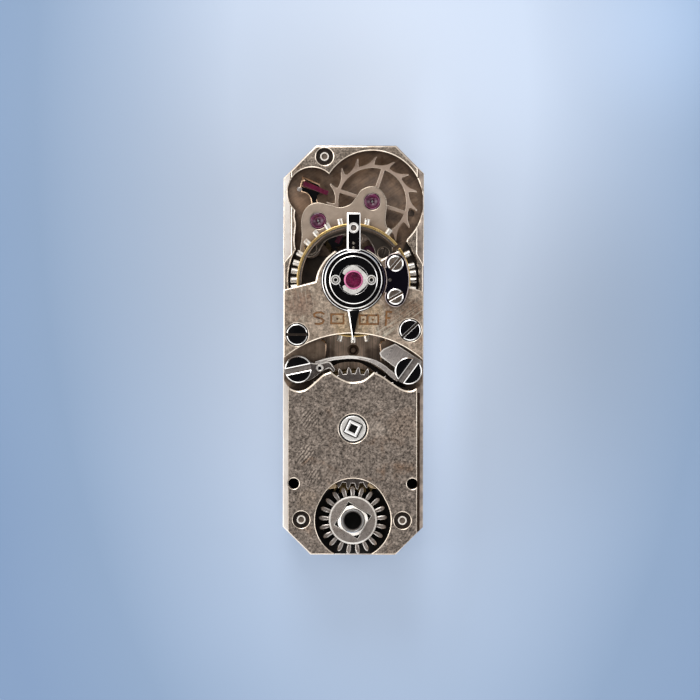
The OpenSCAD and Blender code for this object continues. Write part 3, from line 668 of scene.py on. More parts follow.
    # painted shade and grime: the colour darkens where ambient occlusion finds corners and recesses
    if shade_and_grime:
        ao = g.corner_shade_and_grime(shade_and_grime_dist)
        col = g.mix(g.ramp(ao, 0.35, 0.95, 1.0, 0.0), col, shade_and_grime)
    micro = g.noise(38, 3, 0.6)
    h = g.math("MULTIPLY", g.ramp(micro, 0.2, 0.8), 0.35)
    for s, k in heights:
        h = g.math("ADD", h, g.math("MULTIPLY", s, k))
    g.link(g.bump(h, bump, 0.000006), p.inputs["Normal"])
    g.link(col, p.inputs["Base Color"])
    g.link(g.math("MAXIMUM", rsum, 0.04), p.inputs["Roughness"])
    if coat:
        p.inputs["Coat Weight"].default_value = coat
        p.inputs["Coat Roughness"].default_value = 0.08
    return g.mat


def polished(name, base, rough=0.12, tint=None, wear=0.25, bump=0.12):
    """Polished metal with fine hairlines and slight clouding."""
    g = G(name)
    p = g.p
    p.inputs["Metallic"].default_value = 1.0
    n1 = g.noise(2.6, 5, 0.6)
    col = g.mix(g.math("MULTIPLY", g.ramp(n1, 0.4, 0.75), wear), base, tint or tuple(c * 0.55 for c in base))
    g.link(col, p.inputs["Base Color"])
    hair = g.noise(1.0, 2, 0.5, g.mapping(g.mapping(g.mm, rot=(0, 0, 37)), scale=(1.5, 60, 3)))
    r = g.math("ADD", g.ramp(g.noise(6, 4, 0.6), 0.3, 0.7, rough * 0.7, rough * 1.5), g.ramp(hair, 0.55, 0.7, 0, rough * 0.5))
    g.link(r, p.inputs["Roughness"])
    g.link(g.bump(hair, bump, 0.000002), p.inputs["Normal"])
    return g.mat


def ruby(name, base, deep, rough=0.06):
    g = G(name)
    p = g.p
    n1 = g.noise(5.0, 4, 0.6)
    g.link(g.mix(g.ramp(n1, 0.35, 0.65), deep, base), p.inputs["Base Color"])
    g.link(g.ramp(g.noise(14, 3, 0.5), 0.3, 0.7, rough * 0.6, rough * 1.8), p.inputs["Roughness"])
    p.inputs["IOR"].default_value = 1.76
    p.inputs["Coat Weight"].default_value = 0.1
    p.inputs["Coat Roughness"].default_value = 0.05
    p.inputs["Specular IOR Level"].default_value = 0.22
    g.link(g.bump(g.noise(20, 2, 0.5), 0.05, 0.000002), p.inputs["Normal"])
    return g.mat


BROWN = (0.085, 0.05, 0.032)
M_EDGE = polished("bright_edge", (0.75, 0.655, 0.555), 0.24, (0.43, 0.33, 0.245), 0.7)
M_STEEL = polished("bright_steel", (0.76, 0.74, 0.72), 0.14, (0.42, 0.4, 0.38), 0.25)
M_BLACK = polished("black_polish", (0.020, 0.020, 0.023), 0.1, (0.05, 0.046, 0.045), 0.6, 0.05)
M_BLUEBLACK = polished("blue_black_polish", (0.020, 0.017, 0.030), 0.14, (0.035, 0.028, 0.05), 0.5, 0.05)
M_PLATE = metal("nickel_plate", (0.50, 0.41, 0.335), (0.19, 0.155, 0.125), (0.17, 0.105, 0.065), 0.4, 0.12, 0.8, 6.5, 1.5, (0.55, 0.72),
                grain=(75, 30, 0.12), scratch=[(55, 9, 0.2, 1.3)], shade_and_grime=BROWN, shade_and_grime_dist=0.1, speck=1.0, spk=5.0, fleck=(17, 0.75))
# The ledge is pale at the left and darker brown at the right: painted side light.
M_LEDGE = metal("nickel_ledge", (0.90, 0.86, 0.82), (0.80, 0.74, 0.69), (0.62, 0.52, 0.44), 0.4, 0.08, 0.12, 2.5, 1.2, (0.62, 0.8),
                grain=(90, 20, 0.04), shade_and_grime=(0.3, 0.2, 0.14), shade_and_grime_dist=0.04, speck=0.2, painted_side_light=(-0.6, 0.6, (0.45, 0.37, 0.315)))
M_BACK = metal("dial_side_nickel", (0.70, 0.645, 0.59), (0.50, 0.445, 0.395), (0.42, 0.33, 0.26), 0.4, 0.08, 0.3, 3.0, 1.2, (0.6, 0.78),
               grain=(90, 20, 0.08), shade_and_grime=(0.26, 0.17, 0.12), shade_and_grime_dist=0.05, speck=0.5)
M_FLOOR = metal("recess_floor", (0.40, 0.275, 0.19), (0.15, 0.105, 0.08), (0.22, 0.14, 0.09), 0.45, 0.12, 0.55, 3.4, 1.6, (0.5, 0.66),
                grain=(35, 10, 0.16), shade_and_grime=(0.06, 0.035, 0.022), shade_and_grime_dist=0.22, speck=0.7, spk=5.0,
                tintspot=[(-1.5, 5.2, 0.75, (0.5, 0.31, 0.2), 0.55), (0.15, 6.35, 0.5, (0.5, 0.31, 0.19), 0.5), (0.65, 5.05, 1.15, (0.2, 0.155, 0.13), 0.45)])
M_WALL = metal("recess_wall", (0.36, 0.26, 0.185), (0.14, 0.095, 0.068), (0.16, 0.1, 0.065), 0.42, 0.12, 0.7, 3.5, 1.6, (0.5, 0.65),
               shade_and_grime=(0.05, 0.03, 0.02), shade_and_grime_dist=0.2)
# Near-black floor of the balance pocket and of the spring's shadow slot: painted shade.
M_SHADED_POCKET = metal("pocket_painted_shade", (0.10, 0.078, 0.062), (0.04, 0.03, 0.025), (0.07, 0.048, 0.035), 0.4, 0.12, 0.7, 2.6, 1.2, (0.5, 0.65), shade_and_grime=(0.014, 0.01, 0.008))
# The two dark tintspots near the valley's side walls are painted shade.
M_VALLEY = metal("valley_floor", (0.98, 0.75, 0.59), (0.52, 0.385, 0.29), (0.46, 0.31, 0.215), 0.4, 0.12, 0.35, 1.6, 1.3, (0.52, 0.72),
                 grain=(90, 14, 0.3), streak=(90, 7, 0.6, (0.09, 0.06, 0.042)), shade_and_grime=(0.05, 0.032, 0.022), shade_and_grime_dist=0.25,
                 tintspot=[(-0.82, -0.2, 0.42, (0.08, 0.05, 0.035), 0.6), (0.8, -0.2, 0.45, (0.08, 0.05, 0.035), 0.7)])
M_COCK = metal("champagne_cock", (0.70, 0.56, 0.44), (0.31, 0.235, 0.178), (0.26, 0.165, 0.11), 0.38, 0.1, 0.75, 5.0, 0.9, (0.52, 0.7),
               grain=(90, 20, 0.08), scratch=[(100, 6, 0.25, 4.2), (35, 6, 0.35, 8.4)], fleck=(12, 0.5), shade_and_grime=(0.2, 0.12, 0.07), shade_and_grime_dist=0.1, speck=0.8, spk=5.0,
               tintspot=[(0.0, 0.85, 0.95, (0.68, 0.50, 0.30), 0.55), (-1.85, 1.55, 0.6, (0.33, 0.215, 0.16), 0.6), (2.0, 1.3, 0.6, (0.26, 0.165, 0.11), 0.8), (1.3, 1.0, 0.45, (0.34, 0.23, 0.16), 0.5), (0.75, 1.3, 0.35, (0.62, 0.42, 0.24), 0.5)])
M_BRIDGE = metal("grey_bridge", (0.45, 0.372, 0.315), (0.17, 0.138, 0.115), (0.20, 0.135, 0.095), 0.38, 0.1, 0.8, 6.0, 0.9, (0.55, 0.74),
                 grain=(57, 26, 0.18), scratch=[(57, 8, 0.22, 1.1), (50, 11, 0.2, 6.6), (88, 6, 0.25, 3.9)], shade_and_grime=(0.14, 0.09, 0.06), shade_and_grime_dist=0.1, speck=0.9, spk=6.5, fleck=(15, 0.85),
                 hatch=(55, 0.1, 0.5, [(-1.5, -2.35, 0.42), (-1.62, -3.55, 0.4), (-1.3, -4.3, 0.3)], 0.3),
                 tintspot=[(1.75, -2.6, 0.7, (0.36, 0.27, 0.21), 0.5), (0.9, -2.7, 0.4, (0.55, 0.47, 0.4), 0.4), (-1.55, -5.1, 0.5, (0.45, 0.35, 0.27), 0.5)])
# The escape bridge colour darkens within the balance's radius: painted shade cast by the balance.
M_SMOOTH = metal("smooth_nickel", (0.50, 0.395, 0.315), (0.37, 0.29, 0.23), (0.28, 0.21, 0.155), 0.42, 0.06, 0.55, 1.6, 0.8, (0.5, 0.75),
                 grain=(40, 10, 0.05), shade_and_grime=(0.2, 0.13, 0.085), shade_and_grime_dist=0.1, speck=0.3, bump=0.12, shade=(0, 2.394, 1.68, 1.8, 0.14))
M_GREY = metal("grained_steel", (0.52, 0.475, 0.45), (0.33, 0.29, 0.265), (0.24, 0.17, 0.13), 0.34, 0.08, 0.8, 3.4, 1.2, (0.58, 0.75),
               grain=(60, 24, 0.16), scratch=[(75, 9, 0.5, 2.2)], shade_and_grime=(0.1, 0.065, 0.045), shade_and_grime_dist=0.08)
M_WHEEL = metal("wheel_steel", (0.58, 0.515, 0.475), (0.36, 0.305, 0.27), (0.27, 0.19, 0.14), 0.34, 0.1, 0.75, 4.2, 1.4, (0.58, 0.76),
                grain=(20, 22, 0.12), shade_and_grime=(0.09, 0.06, 0.042), shade_and_grime_dist=0.08)
M_ESC = metal("escape_wheel_steel", (0.53, 0.41, 0.335), (0.42, 0.315, 0.25), (0.30, 0.21, 0.16), 0.42, 0.06, 0.45, 1.6, 1.0, (0.55, 0.75),
              grain=(40, 14, 0.05), shade_and_grime=(0.3, 0.2, 0.14), shade_and_grime_dist=0.05, bump=0.1)
M_CLICK = metal("click_steel", (0.30, 0.265, 0.25), (0.16, 0.135, 0.125), (0.15, 0.1, 0.08), 0.32, 0.08, 0.9, 3.4, 1.2, (0.58, 0.75), grain=(60, 24, 0.16), shade_and_grime=(0.05, 0.035, 0.025), shade_and_grime_dist=0.08)
M_DUSK = metal("shaded_steel", (0.10, 0.08, 0.065), (0.04, 0.03, 0.025), (0.06, 0.04, 0.03), 0.35, 0.08, 0.8, 2.4, 1.2, (0.5, 0.7))
M_BRASS = metal("turned_brass", (0.80, 0.57, 0.24), (0.55, 0.37, 0.14), (0.3, 0.18, 0.07), 0.3, 0.08, 0.8, 3.0, 1.4, (0.55, 0.75), grain=(0, 12, 0.12),
                shade_and_grime=(0.12, 0.07, 0.03), shade_and_grime_dist=0.08)
M_GILT = metal("gilt_wheel", (0.34, 0.24, 0.12), (0.17, 0.115, 0.06), (0.09, 0.06, 0.035), 0.34, 0.1, 1.0, 2.0, 1.0, (0.5, 0.7), grain=(15, 16, 0.15),
               shade_and_grime=(0.03, 0.02, 0.012), shade_and_grime_dist=0.2)
M_MARK = metal("engraved_gilt", (0.40, 0.20, 0.08), (0.20, 0.095, 0.04), (0.08, 0.045, 0.03), 0.45, 0.15, 0.3, 6.0, 4.2, (0.52, 0.66))
# Near-black floors at the bottom of holes, bores, slots and deep recesses: painted shade.
M_HOLE_SHADE = metal("hole_painted_shade", (0.012, 0.011, 0.01), (0.006, 0.006, 0.006), None, 0.6, 0.1, 0.3, 2.0)
M_SPRING = polished("spring_steel", (0.42, 0.46, 0.56), 0.16, (0.2, 0.22, 0.3), 0.3)
# Near-white, half-metallic steel that stays bright from every side: painted sheen standing in for polished reflections.
M_SHEEN_WHITE = metal("steel_painted_sheen", (0.90, 0.88, 0.85), (0.74, 0.71, 0.67), (0.55, 0.47, 0.38), 0.3, 0.08, 0.45, 3.0, 2.2, (0.6, 0.75), shade_and_grime=(0.12, 0.08, 0.06), shade_and_grime_dist=0.05, bump=0.1)
M_SATIN = metal("satin_brown", (0.34, 0.28, 0.235), (0.15, 0.115, 0.09), (0.2, 0.13, 0.09), 0.25, 0.08, 0.8, 4.0, 3.0, (0.55, 0.7), grain=(20, 40, 0.15), shade_and_grime=(0.12, 0.08, 0.06), shade_and_grime_dist=0.05, bump=0.1)
# Painted highlight: near-white, almost non-metallic bevels that stay bright where a polished bevel would lie in shade.
M_HIGHLIGHT_EDGE = metal("painted_highlight_edge", (1.0, 0.97, 0.93), (0.84, 0.79, 0.73), None, 0.34, 0.06, 0.05, 3.0, bump=0.05)
M_HEAD = metal("spring_head", (0.74, 0.68, 0.65), (0.50, 0.45, 0.425), (0.36, 0.28, 0.23), 0.34, 0.08, 0.6, 3.4, 1.2, (0.58, 0.75),
               grain=(60, 24, 0.16), scratch=[(75, 9, 0.4, 2.2)], shade_and_grime=(0.12, 0.08, 0.06), shade_and_grime_dist=0.06)
M_SATIN_LIGHT = metal("satin_light", (0.62, 0.58, 0.55), (0.34, 0.31, 0.29), None, 0.25, 0.08, 0.7, 6.0)
M_BLUE_EDGE = polished("blue_edge", (0.30, 0.25, 0.235), 0.24, (0.06, 0.05, 0.06), 0.9)
# The two near-black tintspots below the click and the click spring are painted shadow cast by them onto the shelf.
M_SHELF = metal("shelf_top", (0.50, 0.365, 0.265), (0.27, 0.192, 0.138), (0.31, 0.2, 0.13), 0.42, 0.12, 0.5, 3.2, 1.1, (0.48, 0.68),
                grain=(90, 14, 0.14), shade_and_grime=(0.05, 0.03, 0.02), shade_and_grime_dist=0.22, speck=0.9, spk=5.0,
                tintspot=[(-1.75, -1.05, 0.72, (0.03, 0.02, 0.015), 0.92), (1.75, -1.12, 0.72, (0.03, 0.02, 0.015), 0.92)])
# Near-black floors of sinks and screw slots: painted shade.
M_SHADED_SINK = metal("sink_painted_shade", (0.075, 0.055, 0.043), (0.03, 0.022, 0.018), None, 0.4, 0.1, 0.6, 3.0)
M_SHELF_EDGE = polished("shelf_edge", (0.33, 0.23, 0.16), 0.3, (0.2, 0.13, 0.09), 0.6)
M_RUBY = ruby("ruby", (0.12, 0.008, 0.055), (0.05, 0.003, 0.024))
M_RUBY_RING = ruby("ruby_ring", (0.11, 0.012, 0.055), (0.05, 0.005, 0.026))
M_RUBY_DEEP = ruby("ruby_deep", (0.06, 0.004, 0.026), (0.03, 0.002, 0.014))
M_PINK_DIM = ruby("ruby_dim_rim", (0.24, 0.06, 0.13), (0.13, 0.025, 0.07), 0.3)
M_PINK = ruby("ruby_bright_rim", (0.74, 0.22, 0.40), (0.45, 0.09, 0.22), 0.3)
M_ENDSTONE = ruby("ruby_endstone", (0.125, 0.005, 0.038), (0.038, 0.0015, 0.014), 0.2)

# ---------------------------------------------------------------- places on the plan

C, A, W, B = np.array((0, 0.0)), np.array((0, -2.67)), np.array((0, -5.8)), np.array((0, 2.394))
E, P_, T = np.array((0.634, 5.077)), np.array((-1.207, 4.416)), np.array((-0.35, 1.867))
F = cross_pt(T, E, 1.75, 1.7, -1)
M_ = np.array((0, -1.0))
J = np.array((0.35, -1.0 - math.sqrt(1.7 * 1.7 - 0.35 * 0.35)))
S = cross_pt(J, W, 1.9, 1.35, -1)
S1, S2 = (1.6, -3.45), (-1.35, -3.0)
KL, KR = (-1.88, -0.66), (1.88, -0.7)
CL, CR = (-1.92, 0.53), (1.93, 0.69)
PT, PL, PR = (-1.0, 6.61), (-1.76, -5.78), (1.69, -5.8)
XL, XR = (-1.47, 3.48), (1.02, 3.32)
D1, D2 = (-1.7, 5.8), (1.2, -6.6)
K = np.array((-1.42, 5.4))
mb, mc, mt, mf = 2.67 * 2 / 80, np.linalg.norm(T) * 2 / 72, 1.75 * 2 / 68, 1.7 * 2 / 77
mr, md = 3.13 * 2 / 61, 0.05
HL, HW = 7.0, 2.4


def holes(pts, r):
    k = EMPTY
    for p in pts:
        k = k + circ(p, r)
    return k


def octagon(w, l, c):
    return poly([(-w + c, -l), (w - c, -l), (w, -l + c), (w, l - c), (w - c, l), (-w + c, l), (-w, l - c), (-w, -l + c)])


case_h = holes([(-2.02, -4.55), (2.02, -4.55)], 0.19)

# ---------------------------------------------------------------- mainplate
base = poly([(-1.45, -7), (1.45, -7), (2.4, -6.05), (2.4, 6.05), (1.45, 7), (-1.28, 7), (-2.4, 5.88), (-2.4, -6.05)])
dial = circ(C, 0.97) + circ(M_, 0.88) + circ(J, 1.06) + circ(S, 1.06) + circ(W, 0.55)
posts = holes([M_, J, S], 0.12)
cov = (circ(M_, 0.3) + circ(J, 0.5) + circ(S, 0.45) + circ(S1, 0.26) + circ(S2, 0.26) + bar(M_, J, 0.24) + bar(J, S, 0.4)
       + bar(S1, J, 0.22) + bar(S2, J, 0.22))
cov_sink = (circ(M_, 0.33) + circ(J, 0.53) + circ(S, 0.48) + circ(S1, 0.29) + circ(S2, 0.29) + bar(M_, J, 0.27) + bar(J, S, 0.43)
            + bar(S1, J, 0.25) + bar(S2, J, 0.25))
small = holes([S1, S2], 0.1) + holes([D1, D2], 0.2)
screwh = holes([KL, KR], 0.17) + holes([CL, CR], 0.14) + holes([PT, PL, PR], 0.17)
wc, sinkC, sinkA, sinkF, sinkT = circ(W, 0.43), circ(C, 1.8), circ(A, 2.3), circ(F, 1.66), circ(T, 1.66)
up_top = poly([(-1.3, 6.96), (1.43, 6.965), (2.18, 6.21), (2.17, 3.3), (2.36, 2.95), (2.36, -1.08), (2.26, -1.24), (2.1, -1.36), (-2.12, -1.36), (-2.24, -1.22), (-2.36, -1.03),
               (-2.36, 3.0), (-2.14, 3.28), (-2.14, 6.1)])
ledge = (base & rect(-3, 2.9, 3, 8)) - up_top
rec_round = circ(E, 1.745) + circ(K, 0.843)
groove = rect(2.15, -6.2, 2.285, -1.45)
L = []


def lev(z0, z1, r, **k):
    L.append(dict(z0=z0, z1=z1, r=r, **k))


lev(0, 0.05, base - dial - cov_sink - small - wc, top=3, side=6, under=6)
lev(0.05, 0.34, base - (dial - posts) - small - wc, top=2, side=6, under=3)
lev(0.34, 0.5, base - holes([D1, D2], 0.2) - wc - circ(C, 0.2), top=5, side=6, under=3)
lev(0.5, 0.52, base - case_h - holes([D1, D2], 0.2) - wc - circ(C, 0.2), top=2, side=6, under=3)
lev(0.52, 0.7, base - case_h - wc - sinkC, top=2, side=6, under=3)
lev(0.7, 0.84, base - case_h - wc - sinkC - sinkA, top=2, side=6, under=3)
lev(0.84, 1.12, base - case_h - wc - screwh - sinkC - sinkA - sinkF, top=2, side=6, under=3)
lev(1.12, 1.27, base - case_h - wc - screwh - sinkC - sinkA - sinkF - sinkT, top=2, side=6, under=3)
lev(1.27, 1.31, base - case_h - wc - screwh - sinkC - (sinkA & rect(-2.15, -8, 2.15, 0)) - sinkF - sinkT, top=4, side=6, under=3)
lev(1.31, 1.35, base - case_h - wc - screwh - sinkC - (sinkA & rect(-2.15, -8, 2.15, 0)) - sinkF - sinkT - groove, c=lambda q: 0.0 if 2.1 < q[0] < 2.3 else (0.04 if abs(q[0]) < 2.35 or abs(q[1]) > 6.0 or q[1] < 2.8 else 0.0), top=0, edge=0,
    side=6, under=3)
lev(1.35, 1.52, ledge, top=2, side=6)
lev(1.52, 1.65, ledge - rec_round, c=lambda q: (0.036 if q[0] < 2.25 else 0.015) if min(abs(np.linalg.norm(q - E) - 1.745), abs(np.linalg.norm(q - K) - 0.843)) < 0.01
    else (0.035 if abs(q[0]) > 2.37 or abs(q[1]) > 6 else 0.0), top=0, edge=1, side=4)
b = Solid()
b.stack(L)
mainplate = b.make("mainplate_fine", "root", [M_LEDGE, M_EDGE, M_FLOOR, M_GILT, M_WALL, M_HOLE_SHADE, M_BACK], ["mainplate"])

# ---------------------------------------------------------------- escapement plate
up_foot = up_top - circ(A, 2.04)
rec_low = spline([(-1.93, 3.2), (-2.02, 3.7), (-1.98, 4.3), (-2.02, 4.55), (-2.0, 4.79), (-0.6, 5.6), (0.3, 4.6), (1.86, 3.86), (1.6, 3.2)], corners=(0, 4, 5, 6, 7, 8), n=8)
pocket = circ(B, 2.24)
feet = circ(XL, 0.34) + circ(XR, 0.27)
deep = (rec_round + rec_low) - feet
def crop3(x, y):
    return ((270 + x / 9.503 - 353.3) * 0.0341, (350.2 - 320 - y / 9.503) * 0.0341)


# A deep slot under the click spring's blade, shaped like the blade's cast shadow; its near-black floor stands in for
# that shadow (painted shadow).
spring_shadow_slot = spline([crop3(*q) for q in [(566, 388), (640, 372), (740, 368), (850, 378), (930, 402), (1010, 446), (1100, 508), (1180, 560), (1260, 606), (1300, 640), (1240, 640), (1170, 606),
                                     (1090, 556), (1000, 496), (920, 440), (850, 406), (750, 398), (660, 410), (600, 436)]], corners=(0, 9, 10, 18), n=5)
corner_cut = (rect(-1.09, 0.18, -0.9, 0.5) - circ((-1.09, 0.18), 0.17)) + (rect(0.88, 0.18, 1.07, 0.5) - circ((1.07, 0.18), 0.17))
valley = corner_cut + spline([(-0.92, 0.9), (0.9, 0.9), (0.9, 0.2), (0.93, -0.1), (0.93, -1.4), (-0.95, -1.4), (-0.95, -0.2), (-0.92, 0.1)], corners=range(8))
arch = circ((0, -3.07), 3.66)
shelf_cut = rect(-3, -2, 3, 0.21) + arch
win = EMPTY
for a0, a1 in ((98, 130), (6, 30), (190, 222)):
    win = win + poly(arc_pts(B, 1.72, a0, a1, 16) + arc_pts(B, 0.85, a1, a0, 12))
bear = holes([T, F], 0.2) + circ(E, 0.22) + circ(P_, 0.2) + circ(B, 0.28) + circ(C, 0.2)
scr = holes([KL, KR], 0.17) + holes([CL, CR], 0.14) + circ(PT, 0.17)
small_hole = circ((1.975, 4.69), 0.115)
L = []
lev(1.35, 1.52, up_foot - win - bear - scr - small_hole, top=2, side=0, under=0)
lev(1.52, 1.62, up_foot - win - bear - scr - deep - (pocket & rec_low), top=3, side=4)
lev(1.62, 1.75, up_foot - win - bear - scr - deep - ((pocket - feet) & rect(-3, 0.53, 3, 8)) - spring_shadow_slot, top=5, side=4)
lev(1.75, 1.95, up_foot - scr - deep - (pocket - feet) - valley - spring_shadow_slot, top=6, side=4)
lev(1.95, 2.05, up_foot - scr - (rec_round + rec_low) - pocket - valley - spring_shadow_slot, c=lambda q: 0.035 if -0.12 < q[1] < 0.55 and abs(q[0]) < 1.1 else 0.0, top=7, edge=8, side=4)
top_r = up_foot - scr - (rec_round + rec_low) - pocket - shelf_cut - circ(PT, 0.3)
lev(2.05, 2.21, up_foot - scr - (rec_round + rec_low) - pocket - shelf_cut, top=9, side=4)
lev(2.21, 2.35, top_r, c=lambda q: (0.018 if abs(q[0]) > 2.3 else (0.03 if q[1] > 5.9 and abs(q[0]) < 2.18 else 0.036)) if q[1] > 0.65 or abs(q[0]) > 2.3 else 0.0, top=0, edge=1, side=4)
b = Solid()
b.stack(L)
b.make("escapement_plate_fine", "root", [M_PLATE, M_EDGE, M_FLOOR, M_SHADED_POCKET, M_WALL, M_VALLEY, M_VALLEY, M_SHELF, M_SHELF_EDGE, M_SHADED_SINK], ["escapement_plate"])

# ---------------------------------------------------------------- escape bridge
eb = spline([(-1.83, 3.35), (-1.772, 3.857), (-1.787, 4.45), (-1.691, 4.765), (-1.484, 4.976), (-1.205, 5.041), (-0.82, 4.963), (-0.471, 4.879),
             (-0.123, 4.986), (0.085, 5.232), (0.258, 5.477), (0.606, 5.602), (0.921, 5.482), (1.097, 5.205), (1.127, 4.926), (1.086, 4.402),
             (1.175, 4.123), (1.33, 3.55), (1.3, 3.2), (1.02, 3.02), (0.78, 3.12), (0.68, 3.5), (0.35, 3.92), (-0.3, 3.95), (-0.95, 3.72),
             (-1.2, 3.35), (-1.42, 3.18), (-1.7, 3.2)], n=8)
b = Solid()
sj = holes([P_, E], 0.285)
b.stack([dict(z0=1.95, z1=2.08, r=eb - sj - holes([XL, XR], 0.1), side=2, top=2),
         dict(z0=2.08, z1=2.2, r=eb - sj - holes([XL, XR], 0.19), c=0.035, top=0, edge=1, side=2, steps=3)])
M_SMOOTH_EDGE = metal("smooth_edge", (0.50, 0.42, 0.34), (0.38, 0.32, 0.26), None, 0.3, 0.05, 0.95, 1.5)
b.make("escape_bridge_fine", "root", [M_SMOOTH, M_SMOOTH_EDGE, M_WALL], ["escape_bridge"])


def jewel(b, p, z0, z1, r, h, cup=0.55):
    """A pierced jewel with a rounded rim, a groove and an oil cup. Materials: 0 body, 1 ring, 2 deep."""
    w = z1 - z0
    pr = [(h, z0), (r, z0), (r, z1 - 0.03), (r - 0.012, z1 - 0.01), (r - 0.035, z1), (r * 0.86, z1 - 0.002), (r * 0.80, z1 - 0.016), (r * 0.76, z1 - 0.016),
          (r * 0.70, z1 - 0.004), (r * 0.62, z1 - 0.006), (r * 0.50, z1 - w * 0.18), (r * 0.38, z1 - w * 0.32), (h * 1.15, z1 - w * 0.4), (h, z1 - w * 0.46)]
    b.lathe(p, pr, [0, 0, 1, 1, 1, 3, 2, 0, 0, 2, 0, 2, 1, 2], closed=True)


b = Solid()
for q in (P_, E):
    jewel(b, q, 2.02, 2.195, 0.28, 0.055)
b.make("bridge_jewels_fine", "root", [M_RUBY, M_RUBY_RING, M_RUBY_DEEP, M_PINK_DIM], ["bridge_jewels"])


def screw_head(b, p, zh, z1, rh, a, sw, sd, c=0.05, mats=(0, 1, 2), dome=0.0, steps=1, body=None, c_slot=None):
    """Slotted head: bevelled rim and slot edges, bright or black top."""
    head = circ(p, rh)
    slot = bar(np.array(p) - polar(rh + 0.1, a), np.array(p) + polar(rh + 0.1, a), sw / 2)
    fn = (lambda x, y: -dome * ((x - p[0]) ** 2 + (y - p[1]) ** 2) / rh**2) if dome else None
    rings_ = [circ(p, rh * k).loops[0] for k in (0.8, 0.62, 0.45, 0.28, 0.12)] if dome else ()
    b.stack([dict(z0=zh, z1=z1 - sd, r=head, c=0, top=mats[2], side=mats[1]),
             dict(z0=z1 - sd, z1=z1, r=head - slot, c=c if c_slot is None else (lambda q: c_slot if abs(abs(np.dot(q - np.array(p), polar(1, a + 90))) - sw / 2) < 0.004 else c), top=mats[0], edge=mats[1], side=mats[1], steps=steps, fn=fn, rings=rings_)])
    if body:
        b.lathe(p, [(0, body[0]), (body[1] * 0.7, body[0]), (body[1], body[0] + 0.05), (body[1], zh), (0, zh)], mats[1])


b = Solid()
screw_head(b, XL, 2.08, 2.19, 0.18, 20, 0.05, 0.05, 0.02, (0, 0, 0), body=(1.45, 0.1))
screw_head(b, XR, 2.08, 2.19, 0.18, 75, 0.05, 0.05, 0.02, (0, 0, 0), body=(1.45, 0.1))
b.make("escape_bridge_screws_fine", "root", [M_DUSK], ["escape_bridge_screws"])

# ---------------------------------------------------------------- escape wheel, fork
def escape2d():
    r = circ(E, 1.27, 180)
    for i in range(15):
        a = 12.9 + i * 24
        pts = [(1.2, -1), (1.31, 2.0), (1.36, 1.75), (1.42, 1.0), (1.49, 0.1), (1.55, -0.9), (1.556, 0.2), (1.555, 1.3), (1.47, 3.9), (1.40, 6.3), (1.36, 8.2),
               (1.325, 10.8), (1.30, 13), (1.26, 20)]
        r = r + poly([E + polar(k, a + t) for k, t in pts])
    return r - (windows(E, 1.16, 0.3, 4, 0.06, 71.6)) - circ(E, 0.12)


b = Solid()
b.plate(escape2d(), 1.75, 1.85, c=0.012, top=0, edge=1, side=0)
b.make("escape_wheel_fine", "escape", [M_ESC, M_SMOOTH_EDGE], ["escape_wheel"])
b = Solid()
b.lathe(E, [(0, 0.63), (0.05, 0.63), (0.05, 0.78), (0.12, 0.8), (0.12, 1.98), (0.1, 2.0), (0.05, 2.01), (0.05, 2.12), (0.035, 2.155), (0, 2.165)], 0)
b.plate(teeth(7, mf, mesh_phase(heading(F, E), 70, heading(F, E), 7), E, 0.8, 1.15, 0.36, 0.16), 0.8, 1.06, c=0.005)
b.make("escape_arbor_fine", "escape", [M_STEEL, M_STEEL], ["escape_arbor"])

fa = heading(P_, B)
ca, sa = math.cos(math.radians(fa)), math.sin(math.radians(fa))


def fork_pt(x, y):
    return (P_[0] + ca * x - sa * y, P_[1] + sa * x + ca * y)


def turned_bar(p, a, l, w):
    q = np.array(p) + polar(l, a)
    return bar(p, q, w / 2)


st1, st2 = turned_bar((-0.88, 5.36), 158, 0.9, 0.156), turned_bar((-0.43, 3.95), 242, 0.32, 0.156)
entry = spline([(-1.4, 4.45), (-1.04, 4.45), (-1.12, 4.8), (-1.25, 5.11), (-1.24, 5.28), (-1.12, 5.4), (-1.16, 5.68), (-1.75, 5.94), (-1.83, 5.62), (-1.86, 5.5),
                (-1.8, 5.42), (-1.62, 5.36), (-1.5, 5.24), (-1.45, 5.08), (-1.42, 4.8)], corners=(0, 1, 5, 6, 7, 8), n=6)
exit_ = spline([(-1.26, 4.26), (-0.95, 4.1), (-0.78, 3.85), (-0.74, 3.66), (-0.6, 3.55), (-0.44, 3.58), (-0.33, 3.8), (-0.38, 3.88), (-0.52, 4.02), (-0.7, 4.2),
                (-0.95, 4.42), (-1.1, 4.58)], n=5)
lever = poly([fork_pt(*q) for q in [(0, -0.12), (1.2, -0.05), (1.7, -0.06), (1.8, -0.16), (2.0, -0.2), (1.97, -0.06), (1.84, -0.06), (1.84, 0.06), (1.97, 0.06),
                                    (2.0, 0.2), (1.8, 0.16), (1.7, 0.06), (1.2, 0.05), (0, 0.12)]])
fork = (circ(P_, 0.24) + lever + entry + exit_) - circ(P_, 0.08) - st1 - st2
b = Solid()
b.plate(fork, 1.72, 1.86, c=lambda q: 0.05 if q[1] > 5.56 or q[0] < -1.79 else (0.022 if q[0] < -1.1 and q[1] > 4.9 and q[0] + 0.55 * (q[1] - 5.2) < -1.28 else 0.0), top=0, edge=1, side=2)
b.lathe((-1.85, 5.5), [(0, 1.72), (0.075, 1.72), (0.085, 1.75), (0.085, 1.86), (0.07, 1.885), (0.03, 1.9), (0, 1.9)], 3, n=40)
M_WARM_EDGE = polished("warm_edge", (0.78, 0.54, 0.36), 0.26, (0.55, 0.34, 0.2), 0.5)
b.make("pallet_fork_fine", "pallets", [M_BLACK, M_WARM_EDGE, M_BLACK, M_SATIN_LIGHT], ["pallet_fork"])
b = Solid()
b.plate(st1, 1.68, 1.9, c=0.012, top=0, edge=0, side=0)
b.plate(st2, 1.68, 1.9, c=0.012, top=0, edge=0, side=0)
